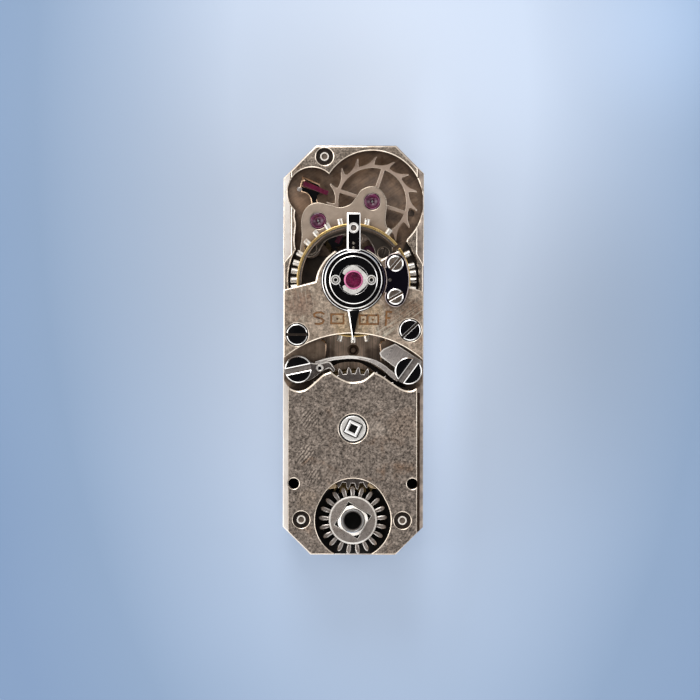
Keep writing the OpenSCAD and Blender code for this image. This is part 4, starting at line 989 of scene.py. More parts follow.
b.make("pallet_stones_fine", "pallets", [ruby("ruby_bar", (0.11, 0.005, 0.03), (0.055, 0.003, 0.016), 0.2), M_RUBY], ["pallet_stones"])
b = Solid()
b.lathe(P_, [(0, 1.38), (0.05, 1.38), (0.05, 1.52), (0.08, 1.53), (0.08, 1.98), (0.05, 2.0), (0.05, 2.12), (0.035, 2.155), (0, 2.165)], 0)
b.make("pallet_arbor_fine", "pallets", [M_STEEL], ["pallet_arbor"])

# ---------------------------------------------------------------- balance
CUT = 37
cutw = EMPTY
for a in (CUT, CUT + 180):
    cutw = cutw + bar(B + polar(1.2, a), B + polar(2.4, a), 0.07)
b = Solid()
rim = ring(B, 1.94, 1.845) - cutw
b.stack([dict(z0=2.24, z1=2.44, r=rim, c=0.035, top=0, edge=0, side=0, steps=3)])
b.make("balance_rim_fine", "balance", [M_BRASS], ["balance_rim"])
b = Solid()
inner = (ring(B, 1.845, 1.775) - cutw) + (bar(B + polar(1.78, CUT - 9), B + polar(1.78, CUT + 171), 0.1) & circ(B, 1.77))
arm = bar(B + polar(1.79, CUT - 9), B + polar(1.79, CUT + 171), 0.1) + circ(B, 0.3)
lip = ring(B, 1.845, 1.775) - cutw
b.stack([dict(z0=2.24, z1=2.43, r=lip, c=lambda q: 0.0 if np.linalg.norm(q - B) > 1.82 else 0.02, top=2, edge=1, side=2, steps=1)])
b.stack([dict(z0=2.28, z1=2.38, r=(arm & circ(B, 1.785)) - circ(B, 0.12), c=0.03, top=0, edge=1, side=0, steps=2)])
b.make("balance_wheel_fine", "balance", [M_GREY, M_STEEL, M_CLICK], ["balance_wheel"])
b = Solid()
rim_a = [0, 7, 14, 26, 54, 77, 90, 103, 116, 129, 141, 154, 163.5, 171.5]
for k, a in enumerate(rim_a + [x + 180 for x in rim_a]):
    tilt = (k * 67) % 180
    xf = Matrix.Translation((B[0], B[1], 2.34)) @ Matrix.Rotation(math.radians(a), 4, "Z") @ Matrix.Rotation(math.radians(90), 4, "Y") @ Matrix.Rotation(math.radians(tilt), 4, "Z")
    rh = 0.1
    b.lathe((0, 0), [(0, 1.84), (0.04, 1.84), (0.04, 1.925), (rh - 0.015, 1.925), (rh, 1.94), (rh, 2.085), (0.0, 2.085)], 0, n=24, xf=xf)
    hd = circ((0, 0), rh, 24)
    b.plate(hd - rect(-0.2, -0.024, 0.2, 0.024), 2.085, 2.147, c=0.018, top=0, edge=0, side=0, steps=2, xf=xf)
b.make("balance_screws_fine", "balance", [metal("screw_white", (0.95, 0.91, 0.85), (0.80, 0.74, 0.66), (0.55, 0.42, 0.30), 0.24, 0.06, 0.6, 6.0, 5.0, (0.58, 0.7), bump=0.05)], ["balance_screws"])
b = Solid()
b.lathe(B, [(0, 1.45), (0.04, 1.45), (0.04, 1.6), (0.09, 1.62), (0.09, 1.69), (0.12, 1.71), (0.12, 2.69), (0.09, 2.71), (0.09, 2.79), (0.04, 2.8), (0.04, 2.92), (0.02, 2.94), (0, 2.94)], 0)
b.lathe(B, [(0.12, 1.7), (0.22, 1.7), (0.22, 1.92), (0.54, 1.92), (0.56, 1.94), (0.56, 2.0), (0.54, 2.02), (0.12, 2.02)], 0, closed=True)
b.make("balance_staff_fine", "balance", [M_STEEL], ["balance_staff", "roller"])
b = Solid()
ia = heading(B, P_)
b.lathe(B + polar(0.45, ia), [(0, 1.68), (0.045, 1.68), (0.05, 1.69), (0.05, 2.02), (0, 2.02)], 0)
b.make("impulse_pin_fine", "balance", [M_RUBY], ["impulse_pin"])
b = Solid()
b.lathe(B, [(0.12, 2.48), (0.2, 2.48), (0.22, 2.5), (0.22, 2.6), (0.2, 2.62), (0.12, 2.62)], 0, closed=True)
b.make("hairspring_collet_fine", "balance", [M_GILT], ["hairspring_collet"])
b = Solid()
n = 9 * 60
cl, hw = [], 0.0095
for i in range(n + 1):
    cl.append(B + polar(0.245 + 0.92 * i / n, i * 6.0))
ins = [B + polar(0.245 + 0.92 * i / n - hw, i * 6.0) for i in range(n + 1)]
outs = [B + polar(0.245 + 0.92 * i / n + hw, i * 6.0) for i in range(n + 1)]
vs = [(q[0], q[1], z) for row, z in ((ins, 2.5), (outs, 2.5), (outs, 2.6), (ins, 2.6)) for q in row]
m = n + 1
fs = []
for r in range(4):
    r2 = (r + 1) % 4
    for i in range(n):
        fs.append((r * m + i + 1, r * m + i, r2 * m + i, r2 * m + i + 1))
fs += [(0, m, 2 * m, 3 * m), (n, 3 * m + n, 2 * m + n, m + n)]
b.add(vs, fs, 0, True)
b.make("hairspring_fine", "root", [M_SPRING], ["hairspring"])

# ---------------------------------------------------------------- balance cock
def cock_outline():
    pts = [(-2.37, 2.045), (-1.30, 2.335), (-1.20, 2.70), (-0.95, 3.105), (-0.634, 3.385)]
    up = spline([(-3.4, 1.75), (-2.37, 2.045), (-1.30, 2.335), (-1.20, 2.70), (-0.95, 3.105), (-0.634, 3.385)] + arc_pts(B, 1.0, 118, 66, 6)
                + [(0.463, 3.428), (0.70, 3.285), (0.945, 3.085)] + arc_pts(B, 1.84, 33, -4, 8) + [(1.925, 2.15), (2.37, 2.0), (3.4, 1.6), (3.4, -2), (-3.4, -2)],
                corners=(0, 1, 2, 5, 6, 12, 13, 15, 16, 24, 25, 26, 27, 28, 29), n=8)
    return (up & rect(-2.37, -1.2, 2.37, 4)) - circ((-0.024, -3.072), 3.649)


cock = cock_outline()
c_h = circ(B, 0.3) + holes([B + (s * 0.61, 0) for s in (-1, 1)], 0.1) + holes([B + polar(1.535, 21.5 * s) for s in (-1, 1)], 0.11) + circ(B + (1.24, 0), 0.12)
sinks = holes([CL, CR], 0.40)
mk = 0.066


def box_mark(x0, y0, x1, y1):
    return (rect(x0, y0, x1, y1) - rect(x0 + mk, y0 + mk, x1 - mk, y1 - mk)) + circ(((x0 + x1) / 2, (y0 + y1) / 2), 0.04, 14)


def px(x, y):
    return ((x - 353.3) * 0.0341, (350.2 - y) * 0.0341)


x0, y0 = px(330.1, 324.5)
x1, y1 = px(344.4, 313.3)
marks = box_mark(x0, y0, x1, y1)
x0, y0 = px(358.7, 325)
x1, y1 = px(368.0, 314.3)
marks = marks + box_mark(x0, y0, x1, y1)
x0, y0 = px(366.6, 325)
x1, y1 = px(379.1, 314.3)
marks = marks + box_mark(x0, y0, x1, y1)
s_pts = [px(*q) for q in [(323.6, 313.8), (320.6, 312.5), (316.8, 312.6), (313.9, 314.2), (314.4, 316.4), (317.8, 317.7), (321.6, 318.8), (323.7, 320.8), (322.4, 323.0), (319.2, 324.2), (315.4, 323.8)]]
marks = marks + stroke(s_pts, mk * 1.05)
f_pts = [[px(385.6, 325.2), px(386.4, 311.6)], [px(386.4, 311.6), px(391.3, 311.9)], [px(386.0, 317.8), px(389.6, 318.0)]]
for q in f_pts:
    marks = marks + stroke(q, mk * 1.05)
marks = marks & cock
base_c = cock - c_h
foot = (cock & rect(-3, -1, 3, 1.35)) - circ(B, 2.24) - rect(-1.3, -1, 1.3, 3)
top_c = base_c - sinks - marks


def c_edge(q):
    d = np.array([q + 2e-3 * np.array((i, j)) for i in (-1, 0, 1) for j in (-1, 0, 1) if i or j])
    if marks.has(d).any():
        return 0.0
    if min(np.linalg.norm(q - np.array(CL)), np.linalg.norm(q - np.array(CR))) < 0.41:
        return 0.014
    return (0.02 if q[0] < 0 else 0.006) if abs(q[0]) > 2.3 else (0.05 if q[1] > 1.9 else 0.03)


L = []
lev(2.35, 2.72, foot - holes([CL, CR], 0.14), top=2, side=2)
lev(2.72, 2.89, base_c - holes([CL, CR], 0.14), top=2, side=4, under=2)
lev(2.89, 2.95, base_c - sinks, top=2, side=4)
lev(2.95, 3.022, base_c - sinks - circ(B, 0.48), top=3, side=4)
lev(3.022, 3.05, top_c - circ(B, 0.48), c=c_edge, top=0, edge=1, side=4)
b = Solid()
b.stack(L)
b.make("balance_cock_fine", "root", [M_COCK, M_EDGE, M_WALL, M_MARK, M_WALL], ["balance_cock"])
b = Solid()
# rings lining the sinks of the two cock screws
b.lathe(CL, [(0.352, 2.9), (0.40, 2.9), (0.40, 3.02), (0.385, 3.02), (0.37, 2.93), (0.352, 2.905)], 0, closed=True)
b.lathe(CR, [(0.352, 2.9), (0.40, 2.9), (0.40, 3.02), (0.385, 3.02), (0.37, 2.93), (0.352, 2.905)], 0, closed=True)
b.make("cock_sinks_fine", "root", [M_WALL], ())

# ---------------------------------------------------------------- cap, setting, endstone
b = Solid()
cp = [B + (s * 0.61, 0) for s in (-1, 1)]
cap = circ(B, 0.82) - circ(B, 0.506) - holes(cp, 0.12)
b.stack([dict(z0=3.05, z1=3.28, r=cap, c=lambda q: 0.024 if np.linalg.norm(q - B) > 0.78 else 0.006, top=0, edge=1, side=2, steps=1)])
b.make("endstone_cap_fine", "root", [M_BLACK, M_STEEL, M_BLACK], ["endstone_cap"])
b = Solid()
lobes = []
for i in range(120):
    a = -150 + 300 * i / 119
    r = 0.43 + 0.07 * max(0, math.cos(math.radians(a - 92))) ** 8 + 0.075 * max(0, math.cos(math.radians(a))) ** 6 + 0.06 * max(0, math.cos(math.radians(a + 92))) ** 8
    r += 0.035 * max(0, math.cos(math.radians(a - 142))) ** 10 + 0.045 * max(0, math.cos(math.radians(a + 140))) ** 10
    if a < -138 or a > 138:
        r = 0.43 + 0.03 * (1 - (abs(a) - 138) / 12)
    lobes.append(B + polar(min(r, 0.5), a))
inner_l = [B + polar(0.325, 150 - 300 * i / 80) for i in range(81)]
lob = poly(lobes + inner_l) - holes(cp, 0.125)
b.stack([dict(z0=2.95, z1=3.27, r=ring(B, 0.478, 0.335), top=1, side=1),
         ])
b.plate(lob, 3.27, 3.297, c=0.012, top=0, edge=0, side=0, steps=2)
b.make("endstone_setting_fine", "root", [M_SHEEN_WHITE, M_BLACK], ["endstone_setting"])
b = Solid()
b.lathe(B, [(0, 2.99), (0.31, 2.99), (0.325, 3.0), (0.325, 3.285), (0.315, 3.305), (0.295, 3.318), (0.272, 3.318), (0.262, 3.296), (0.235, 3.290), (0.20, 3.297),
            (0.13, 3.292), (0.07, 3.284), (0.03, 3.278), (0, 3.277)],
        [0, 0, 0, 3, 3, 3, 2, 4, 4, 4, 4, 4, 2])
b.make("balance_endstone_fine", "root", [M_RUBY, M_RUBY_RING, M_RUBY_DEEP, M_PINK, M_ENDSTONE], ["balance_endstone"])
b = Solid()
for q in cp:
    b.lathe(q, [(0, 2.79), (0.1, 2.79), (0.12, 3.0), (0.12, 3.275), (0.165, 3.285), (0.168, 3.30), (0.155, 3.312), (0.125, 3.312), (0.112, 3.296), (0.105, 3.298), (0.088, 3.318),
                (0.07, 3.318), (0.058, 3.29), (0.055, 3.22), (0, 3.22)], [0, 0, 0, 0, 0, 0, 0, 2, 2, 0, 0, 0, 1, 1], n=48)
b.make("cap_screws_fine", "root", [M_SHEEN_WHITE, M_HOLE_SHADE, M_BLACK], ["cap_screws"])

# ---------------------------------------------------------------- regulator
b = Solid()
prof = [(0.84, 3.052), (1.10, 3.052), (1.10, 3.07), (1.072, 3.082), (1.054, 3.092), (1.04, 3.078), (1.01, 3.078), (1.003, 3.11), (0.995, 3.13), (0.968, 3.158), (0.94, 3.168),
        (0.925, 3.166), (0.915, 3.15), (0.905, 3.128), (0.885, 3.128), (0.878, 3.15), (0.866, 3.164), (0.855, 3.164), (0.84, 3.145)]
mats = [2, 2, 2, 1, 2, 2, 2, 2, 1, 1, 2, 2, 2, 2, 2, 1, 2, 2, 2]
b.lathe(B, prof, mats, closed=True, n=200)
upper = poly([(-0.226, B[1] + 1.0), (0.226, B[1] + 1.0), (0.2265, B[1] + 2.25), (0.226, B[1] + 2.29), (-0.226, B[1] + 2.29)]) - circ((0, 4.17), 0.105) - holes([(0, 3.645), (0, 3.49)], 0.04)
b.plate(upper, 3.06, 3.17, c=lambda q: 0.048 if q[0] < -0.2 or q[1] > 4.67 else (0.018 if q[0] > 0.2 else 0.006), top=0, edge=1, side=2, steps=1)
b.lathe((0, 4.17), [(0.1, 3.1), (0.18, 3.168), (0.18, 3.185), (0.165, 3.198), (0.128, 3.198), (0.108, 3.186), (0.1, 3.17)], [2, 4, 4, 4, 4, 4, 2], closed=True)
b.lathe((0, 4.17), [(0, 3.06), (0.104, 3.06), (0.104, 3.12), (0, 3.12)], 3)
point = poly([(-0.2, B[1] - 1.02), (0.2, B[1] - 1.02), (0.165, 1.2), (0.05, 0.62), (0.0, 0.352), (-0.025, 0.352), (-0.165, 1.2)])
b.plate(point, 3.06, 3.168, c=lambda q: 0.042 if q[0] < -0.1 else (0.026 if q[0] < 0.0 else 0.0), top=0, edge=1, side=2, steps=1)
b.make("regulator_fine", "regulator", [M_BLACK, M_STEEL, M_BLACK, M_GREY, M_SHEEN_WHITE], ["regulator"])
b = Solid()
for y in (3.645, 3.49):
    b.lathe((0, y), [(0, 2.48), (0.032, 2.48), (0.035, 2.5), (0.035, 3.17), (0.03, 3.185), (0, 3.19)], 0, n=24)
b.make("curb_pins_fine", "regulator", [polished("pin_grey", (0.55, 0.5, 0.42), 0.3)], ["curb_pins"])

# ---------------------------------------------------------------- stud plate
cres = poly(arc_pts(B, 1.9, -22, 22, 40) + arc_pts(B, 1.125, 22, -22, 30)) + holes([B + polar(1.535, 21.5 * s) for s in (-1, 1)], 0.36)
cres = cres - holes([B + polar(1.535, 21.5 * s) for s in (-1, 1)], 0.11) - circ(B + (1.24, 0), 0.07)
b = Solid()
b.plate(cres, 3.052, 3.2, c=lambda q: 0.0 if np.linalg.norm(q - B - np.array((1.24, 0))) < 0.1 else (0.014 if np.linalg.norm(q - B) < 1.16 else 0.03), top=0, edge=1, side=0)
b.make("stud_plate_fine", "root", [M_BLUEBLACK, M_BLUE_EDGE], ["stud_plate"])
b = Solid()
for s, a in ((1, 50), (-1, 29)):
    screw_head(b, B + polar(1.535, 21.5 * s), 3.2, 3.31, 0.272, a, 0.085, 0.06, 0.042, (0, 1, 2), steps=1, body=(2.74, 0.11), c_slot=0.012)
b.make("stud_plate_screws_fine", "root", [M_SATIN, M_STEEL, M_WALL], ["stud_plate_screws"])
b = Solid()
b.lathe(B + (1.24, 0), [(0, 2.47), (0.06, 2.47), (0.07, 2.48), (0.07, 3.17), (0.06, 3.185), (0, 3.19)], 0, n=28)
b.make("hairspring_stud_fine", "root", [M_CLICK], ["hairspring_stud"])

# ---------------------------------------------------------------- screws of cock and click
b = Solid()
screw_head(b, CL, 2.89, 3.068, 0.355, 0, 0.085, 0.09, 0.028, (0, 1, 2), body=(0.95, 0.14), c_slot=0.0)
screw_head(b, CR, 2.89, 3.068, 0.355, 43, 0.085, 0.09, 0.028, (0, 1, 2), body=(0.95, 0.14), c_slot=0.008)
b.make("cock_screws_fine", "root", [M_BLACK, M_STEEL, M_SHADED_SINK], ["cock_screws"])
b = Solid()
for q, a in ((KL, 12), (KR, 54)):
    screw_head(b, q, 2.42, 2.8, 0.452, a, 0.2, 0.14, 0.026, (0, 1, 2), body=(0.85, 0.17), c_slot=0.03)
    b.lathe(q, [(0.165, 2.06), (0.28, 2.06), (0.28, 2.42), (0.165, 2.42)], 1, closed=True)
b.make("click_screws_fine", "root", [M_BLACK, M_STEEL, M_GREY], ["click_screws"])

# ---------------------------------------------------------------- steady pins
M_PIN_TOP = metal("pin_top", (1.0, 0.95, 0.89), (0.74, 0.68, 0.61), None, 0.3, 0.08, 0.3, 5.0)
M_PIN_CORE = metal("pin_core", (0.42, 0.35, 0.29), (0.22, 0.17, 0.135), None, 0.35, 0.08, 0.6, 5.0)
b = Solid()
for q, zt, zf in ((PT, 2.32, 2.22), (PL, 2.87, 2.77), (PR, 2.87, 2.77)):
    b.lathe(q, [(0.1, 0.72), (0.17, 0.72), (0.155, zt - 0.03), (0.148, zt - 0.008), (0.138, zt), (0.122, zt), (0.11, zt - 0.01), (0.1, zt - 0.03)], [0, 0, 2, 0, 0, 0, 0, 1], closed=True, n=56)
    b.lathe(q, [(0, zf - 0.02), (0.101, zf - 0.02), (0.101, zf), (0, zf)], 1, n=40)
b.make("steady_pins_fine", "root", [M_PIN_TOP, M_PIN_CORE, M_WALL], ["steady_pins"])

# ---------------------------------------------------------------- click and its spring
click = circ(KL, 0.47) + spline([(-1.6, -0.42), (-1.2, -0.455), (-0.84, -0.40), (-0.74, -0.47), (-0.62, -0.67), (-0.69, -0.745), (-0.80, -0.62), (-1.02, -0.70), (-1.438, -1.0),
                                 (-1.75, -1.1)], corners=(0, 3, 4, 5, 9), n=7)
click = click - circ(KL, 0.3) - circ((-1.144, -0.62), 0.112)
b = Solid()
b.plate(click, 2.1, 2.36, c=lambda q: 0.034 if q[1] > -0.5 and q[0] > -1.7 else (0.022 if q[1] > -0.66 else 0.008), top=0, edge=1, side=2, cz=0.12)
b.make("click_fine", "click", [M_CLICK, M_HIGHLIGHT_EDGE, M_BLACK], ["click"])
b = Solid()
b.lathe((-1.144, -0.62), [(0.05, 2.2), (0.11, 2.2), (0.12, 2.38), (0.125, 2.43), (0.115, 2.452), (0.09, 2.458), (0.065, 2.45), (0.05, 2.42)], [0, 0, 0, 0, 0, 0, 1, 1], closed=True, n=48)
b.lathe((-1.144, -0.62), [(0, 2.2), (0.052, 2.2), (0.052, 2.36), (0, 2.36)], 1, n=24)
b.make("click_pin_fine", "click", [M_SHEEN_WHITE, M_BLACK], ["click_pin"])
head = spline([(0.893, -0.091), (1.031, 0.049), (1.431, 0.227), (2.33, -0.36), (2.3, -0.6), (1.6, -0.66), (1.42, -0.576), (0.946, -0.23)], corners=(0, 1, 2, 3, 4, 6, 7), n=6)
blade = spline([(-1.30, -0.40), (-0.921, -0.279), (-0.55, -0.215), (-0.1, -0.185), (0.371, -0.235), (0.825, -0.371), (1.2, -0.62), (1.55, -0.95), (1.5, -1.06), (1.352, -0.97),
                (0.95, -0.62), (0.476, -0.373), (-0.013, -0.29), (-0.571, -0.33), (-0.85, -0.383), (-1.28, -0.46)], corners=(0, 15, 8), n=7)
spring = (circ(KR, 0.47) + head + blade) - circ(KR, 0.3)
b = Solid()
b.plate(spring, 2.1, 2.36, c=lambda q: (0.04 if q[1] > -0.3 else 0.014) if q[0] > 0.85 else (0.05 if q[1] > -0.5 + 0.13 * abs(q[0]) and q[0] < 0.6 and q[1] > -0.33 - 0.12 * q[0] * q[0] + 0.03 else 0.012), top=0, edge=1, side=2, cz=0.12)
b.make("click_spring_fine", "root", [M_HEAD, M_HIGHLIGHT_EDGE, M_BLACK], ["click_spring"])

# ---------------------------------------------------------------- barrel bridge
M_BRASS_PALE = metal("pale_brass", (0.80, 0.62, 0.40), (0.52, 0.38, 0.22), (0.4, 0.26, 0.14), 0.35, 0.08, 0.4, 5.0, 3.0, (0.5, 0.7))
br = spline([(-2.21, -1.24), (-2.099, -1.335), (-1.855, -1.396), (-1.611, -1.331), (-1.264, -1.05), (-1.021, -0.838), (-0.76, -0.732), (-0.567, -0.887), (-0.217, -1.059),
             (-0.007, -1.086), (0.307, -1.038), (0.55, -0.879), (0.706, -0.738), (1.003, -0.893), (1.354, -1.135), (1.705, -1.341), (1.984, -1.374), (2.17, -1.285),
             (2.18, -6.23), (1.46, -6.95), (-1.42, -6.95), (-2.2, -6.18)],
            corners=(0, 6, 12, 17, 18, 19, 20, 21), n=8)
low = br & rect(-3, -8, 3, -1.38)
wind = circ(W, 1.3)
wind2 = wind + circ(W + (0, 0.239), 1.189)
psink = holes([PL, PR], 0.295)
phole = holes([PL, PR], 0.17)
arb = circ(A, 0.45)
def c_bridge(q):
    if abs(q[0]) > 2.165:
        return 0.008 if q[0] < 0 else 0.018
    if q[1] > -1.45:
        return 0.052
    if abs(np.linalg.norm(q - W) - 1.3) < 0.02 or abs(np.linalg.norm(q - W - np.array((0, 0.239))) - 1.189) < 0.02:
        return 0.024
    if abs(np.linalg.norm(q - A)) < 0.6:
        return 0.02
    for h in ((-2.02, -4.55), (2.02, -4.55)):
        if np.linalg.norm(q - np.array(h)) < 0.21:
            return 0.02
    return 0.018


L = []
lev(1.35, 1.9, low - circ(A, 2.25) - circ(W, 0.65) - phole - case_h, top=3, side=2)
lev(1.9, 2.44, low - circ(A, 2.25) - wind - phole - case_h, top=3, side=2)
lev(2.44, 2.76, br - arb - wind2 - phole - case_h, top=5, side=2, under=2)
lev(2.76, 2.9, br - circ(A, 0.5) - wind2 - psink - case_h, c=c_bridge, top=0, edge=1, side=2)
b = Solid()
b.stack(L)
for pts in ([(-0.85, -4.735), (-0.66, -4.52), (-0.56, -4.62), (-0.61, -4.71)], [(0.82, -4.735), (0.62, -4.70), (0.50, -4.60), (0.56, -4.52)]):
    b.plate(poly(pts) if pts[0][0] < 0 else poly(pts[::-1]), 2.40, 2.46, c=0.012, top=4, edge=4, side=2)
b.make("barrel_bridge_fine", "root", [M_BRIDGE, M_EDGE, M_WALL, M_HOLE_SHADE, M_BRASS_PALE, M_SHADED_SINK], ["barrel_bridge"])
b = Solid()
b.lathe(A, [(0.45, 2.765), (0.5, 2.765), (0.5, 2.862), (0.485, 2.872), (0.472, 2.872), (0.462, 2.84), (0.45, 2.83)], [2, 2, 1, 1, 1, 2, 2], closed=True, n=96)
b.make("arbor_ring_fine", "root", [M_BRIDGE, M_STEEL, M_BLACK], ())

# ---------------------------------------------------------------- barrel
bp = heading(A, C)
b = Solid()
b.stack([dict(z0=0.74, z1=0.8, r=circ(A, 1.98) - circ(A, 0.33), c=0, top=1, side=0),
         dict(z0=0.8, z1=1.08, r=teeth(66, mb, bp, A, 0.8, 1.2) - circ(A, 0.5), c=0.012, top=0, edge=0, side=0),
         dict(z0=1.08, z1=1.9, r=ring(A, 1.98, 1.86), c=0, top=0, edge=0, side=0)])
b.make("barrel_drum_fine", "barrel", [M_BRASS, M_GILT], ["barrel_drum"])
b = Solid()
b.stack([dict(z0=1.82, z1=1.9, r=ring(A, 1.85, 0.33), top=0, side=0), dict(z0=1.9, z1=1.98, r=ring(A, 1.98, 0.33), c=0.02, top=0, edge=0, side=0, steps=2)])
b.make("barrel_lid_fine", "barrel", [M_GILT], ["barrel_lid"])
b = Solid()
b.lathe(A, [(0, 0.42), (0.28, 0.42), (0.28, 0.72), (0.32, 0.74), (0.32, 0.86), (0.48, 0.87), (0.48, 1.8), (0.32, 1.81), (0.32, 2.02), (0, 2.02)], 0)
b.plate(square(A, 0.56, 20), 2.02, 2.44, c=0.0)
disc = circ(A, 0.43) - square(A, 0.515, -25)
b.stack([dict(z0=2.44, z1=2.72, r=circ(A, 0.43), top=1, side=0), dict(z0=2.72, z1=2.872, r=disc, c=0.022, top=0, edge=0, side=1)])
sq_out, sq_in = square(A, 0.45, -25), square(A, 0.262, -25)
b.stack([dict(z0=2.72, z1=2.80, r=sq_out, top=1, side=1), dict(z0=2.80, z1=2.985, r=sq_out - sq_in, c=0.05, top=0, edge=2, side=1)])
b.make("barrel_arbor_fine", "ratchet", [M_SHEEN_WHITE, M_HOLE_SHADE, M_STEEL], ["barrel_arbor"])

# ---------------------------------------------------------------- winding work
rp = heading(A, W) + 4.2
b = Solid()


def pointed(n, m, ph, c):
    p, r = 360 / n, n * m / 2
    prof = [(r - 1.75 * m, -0.33), (r - 1.7 * m, -0.27), (r - 0.9 * m, -0.215), (r - 0.3 * m, -0.15), (r + 0.1 * m, -0.085), (r + 0.34 * m, -0.03), (r + 0.38 * m, 0.0),
            (r + 0.34 * m, 0.03), (r + 0.1 * m, 0.085), (r - 0.3 * m, 0.15), (r - 0.9 * m, 0.215), (r - 1.7 * m, 0.27), (r - 1.75 * m, 0.33)]
    return poly([np.array(c) + polar(k[0], ph + (i + k[1]) * p) for i in range(n) for k in prof])


b.plate(pointed(40, mr, rp, A) - square(A, 0.56, 20), 2.1, 2.38, c=0.015, top=0, edge=1, side=2)
b.make("ratchet_wheel_fine", "ratchet", [M_CLICK, M_SATIN_LIGHT, M_GREY], ["ratchet_wheel"])
wp = mesh_phase(rp, 40, heading(A, W), 21)


def rounded(n, ph, c):
    """Slender round ended teeth with gaps that reach the hub."""
    prof = [(0.8, -0.2), (0.86, -0.215), (0.93, -0.235), (1.0, -0.24), (1.06, -0.225), (1.11, -0.18), (1.145, -0.11), (1.16, -0.04), (1.16, 0.04), (1.145, 0.11), (1.11, 0.18),
            (1.06, 0.225), (1.0, 0.24), (0.93, 0.235), (0.86, 0.215), (0.8, 0.2)]
    return poly([np.array(c) + polar(k[0], ph + (i + k[1]) * 360 / n) for i in range(n) for k in prof])


M_STEM = metal("stem_top", (0.60, 0.56, 0.53), (0.42, 0.38, 0.355), (0.32, 0.24, 0.19), 0.3, 0.08, 0.5, 3.4, 1.6, (0.56, 0.72), grain=(30, 24, 0.14), shade_and_grime=(0.1, 0.065, 0.045), shade_and_grime_dist=0.05)
hole_sq = square(W, 0.92, -31)
b = Solid()
b.stack([dict(z0=1.4, z1=2.12, r=circ(W, 0.62) - hole_sq, top=0, side=2),
         dict(z0=2.12, z1=2.36, r=rounded(21, wp, W) - hole_sq, c=0.03, top=0, edge=3, side=2),
         dict(z0=2.36, z1=2.5, r=circ(W, 0.82) - hole_sq, c=lambda q: 0.055 if np.linalg.norm(q - W) > 0.8 else 0.012, top=0, edge=4, side=2)])
b.make("winding_wheel_fine", "winding_wheel", [M_WHEEL, M_STEEL, M_GREY, M_SATIN_LIGHT, M_HIGHLIGHT_EDGE], ["winding_wheel"])
b = Solid()
stem2d = square(W, 0.88, -31) & circ(W, 0.515)
bore = circ(W, 0.3)
b.stack([dict(z0=0.1, z1=1.42, r=circ(W, 0.4), top=0, side=0), dict(z0=1.42, z1=2.2, r=stem2d, top=1, side=0),
         dict(z0=2.2, z1=3.28, r=stem2d - bore, c=lambda q: 0.1 if np.linalg.norm(q - W) > 0.4 else 0.0, top=3, edge=4, side=0)])
b.lathe(W, [(0.3, 3.2), (0.405, 3.2), (0.42, 3.30), (0.415, 3.36), (0.395, 3.392), (0.365, 3.4), (0.335, 3.392), (0.312, 3.36), (0.302, 3.30)], [0, 0, 0, 0, 0, 0, 2, 2, 2], closed=True, n=96)
b.plate(teeth(16, md, heading(W, S), W, 0.9, 1.1), 0.02, 0.12, c=0.006)
b.lathe(W, [(0.305, 3.28), (0.28, 3.2), (0.305, 3.17), (0.28, 3.13), (0.305, 3.10), (0.28, 3.06), (0.305, 3.03), (0.28, 2.99), (0.305, 2.96), (0.305, 2.55), (0, 2.55)], 1, n=64)
b.make("winding_stem_fine", "winding_stem", [M_STEEL, M_HOLE_SHADE, M_GREY, M_STEM, M_PIN_TOP], ["winding_stem"])

# ---------------------------------------------------------------- train
b = Solid()
b.plate(teeth(64, mc, heading(C, T), C, 0.9, 1.2) - windows(C, 1.42, 0.42, 4, 0.09, 20) - circ(C, 0.17), 0.56, 0.66, c=0.01, edge=0)
b.make("centre_wheel_fine", "centre", [M_GILT], ["centre_wheel"])
b = Solid()
b.lathe(C, [(0, -0.4), (0.1, -0.4), (0.1, 0.34), (0.17, 0.35), (0.17, 0.55), (0.24, 0.56), (0.24, 0.68), (0.2, 0.69), (0.2, 1.15), (0.24, 1.16), (0.24, 1.33), (0.1, 1.34), (0.1, 1.67),
            (0.08, 1.69), (0, 1.695)], [0] * 12 + [2, 2])
b.plate(teeth(14, mb, mesh_phase(bp, 66, heading(A, C), 14), C, 0.8, 1.15, 0.36, 0.16), 0.68, 1.16, c=0.01)
b.make("centre_arbor_fine", "centre", [M_STEEL, M_STEEL, M_WALL], ["centre_arbor"])
b = Solid()
b.lathe(C, [(0.115, 1.42), (0.2, 1.42), (0.2, 1.715), (0.19, 1.722), (0.165, 1.715), (0.125, 1.67), (0.115, 1.66)], 0, closed=True)
b.make("centre_bush_fine", "root", [M_WALL], ["centre_bush"])
b = Solid()
b.plate(teeth(60, mt, heading(T, F), T, 0.9, 1.2) - windows(T, 1.3, 0.3, 5, 0.07, 10) - circ(T, 0.1), 1.16, 1.26, c=0.01, edge=0)
b.make("third_wheel_fine", "third", [M_GILT], ["third_wheel"])
b = Solid()
b.lathe(T, [(0, 0.39), (0.05, 0.39), (0.05, 0.52), (0.1, 0.53), (0.1, 1.11), (0.15, 1.12), (0.15, 1.31), (0.1, 1.32), (0.1, 1.41), (0.05, 1.42), (0.05, 1.59), (0, 1.59)], 0)
b.plate(teeth(8, mc, mesh_phase(heading(C, T), 64, heading(C, T), 8), T, 0.8, 1.15, 0.36, 0.16), 0.54, 0.76, c=0.006)
b.make("third_arbor_fine", "third", [M_STEEL, M_STEEL], ["third_arbor"])
b = Solid()
b.plate(teeth(70, mf, heading(F, E), F, 0.9, 1.2) - windows(F, 1.3, 0.28, 5, 0.06, 0) - circ(F, 0.1), 0.88, 0.98, c=0.01, edge=0)
b.make("fourth_wheel_fine", "fourth", [M_GILT], ["fourth_wheel"])
b = Solid()
b.lathe(F, [(0, 0.69), (0.05, 0.69), (0.05, 0.84), (0.13, 0.85), (0.13, 1.1), (0.1, 1.11), (0.1, 1.41), (0.05, 1.42), (0.05, 1.59), (0, 1.59)], 0)
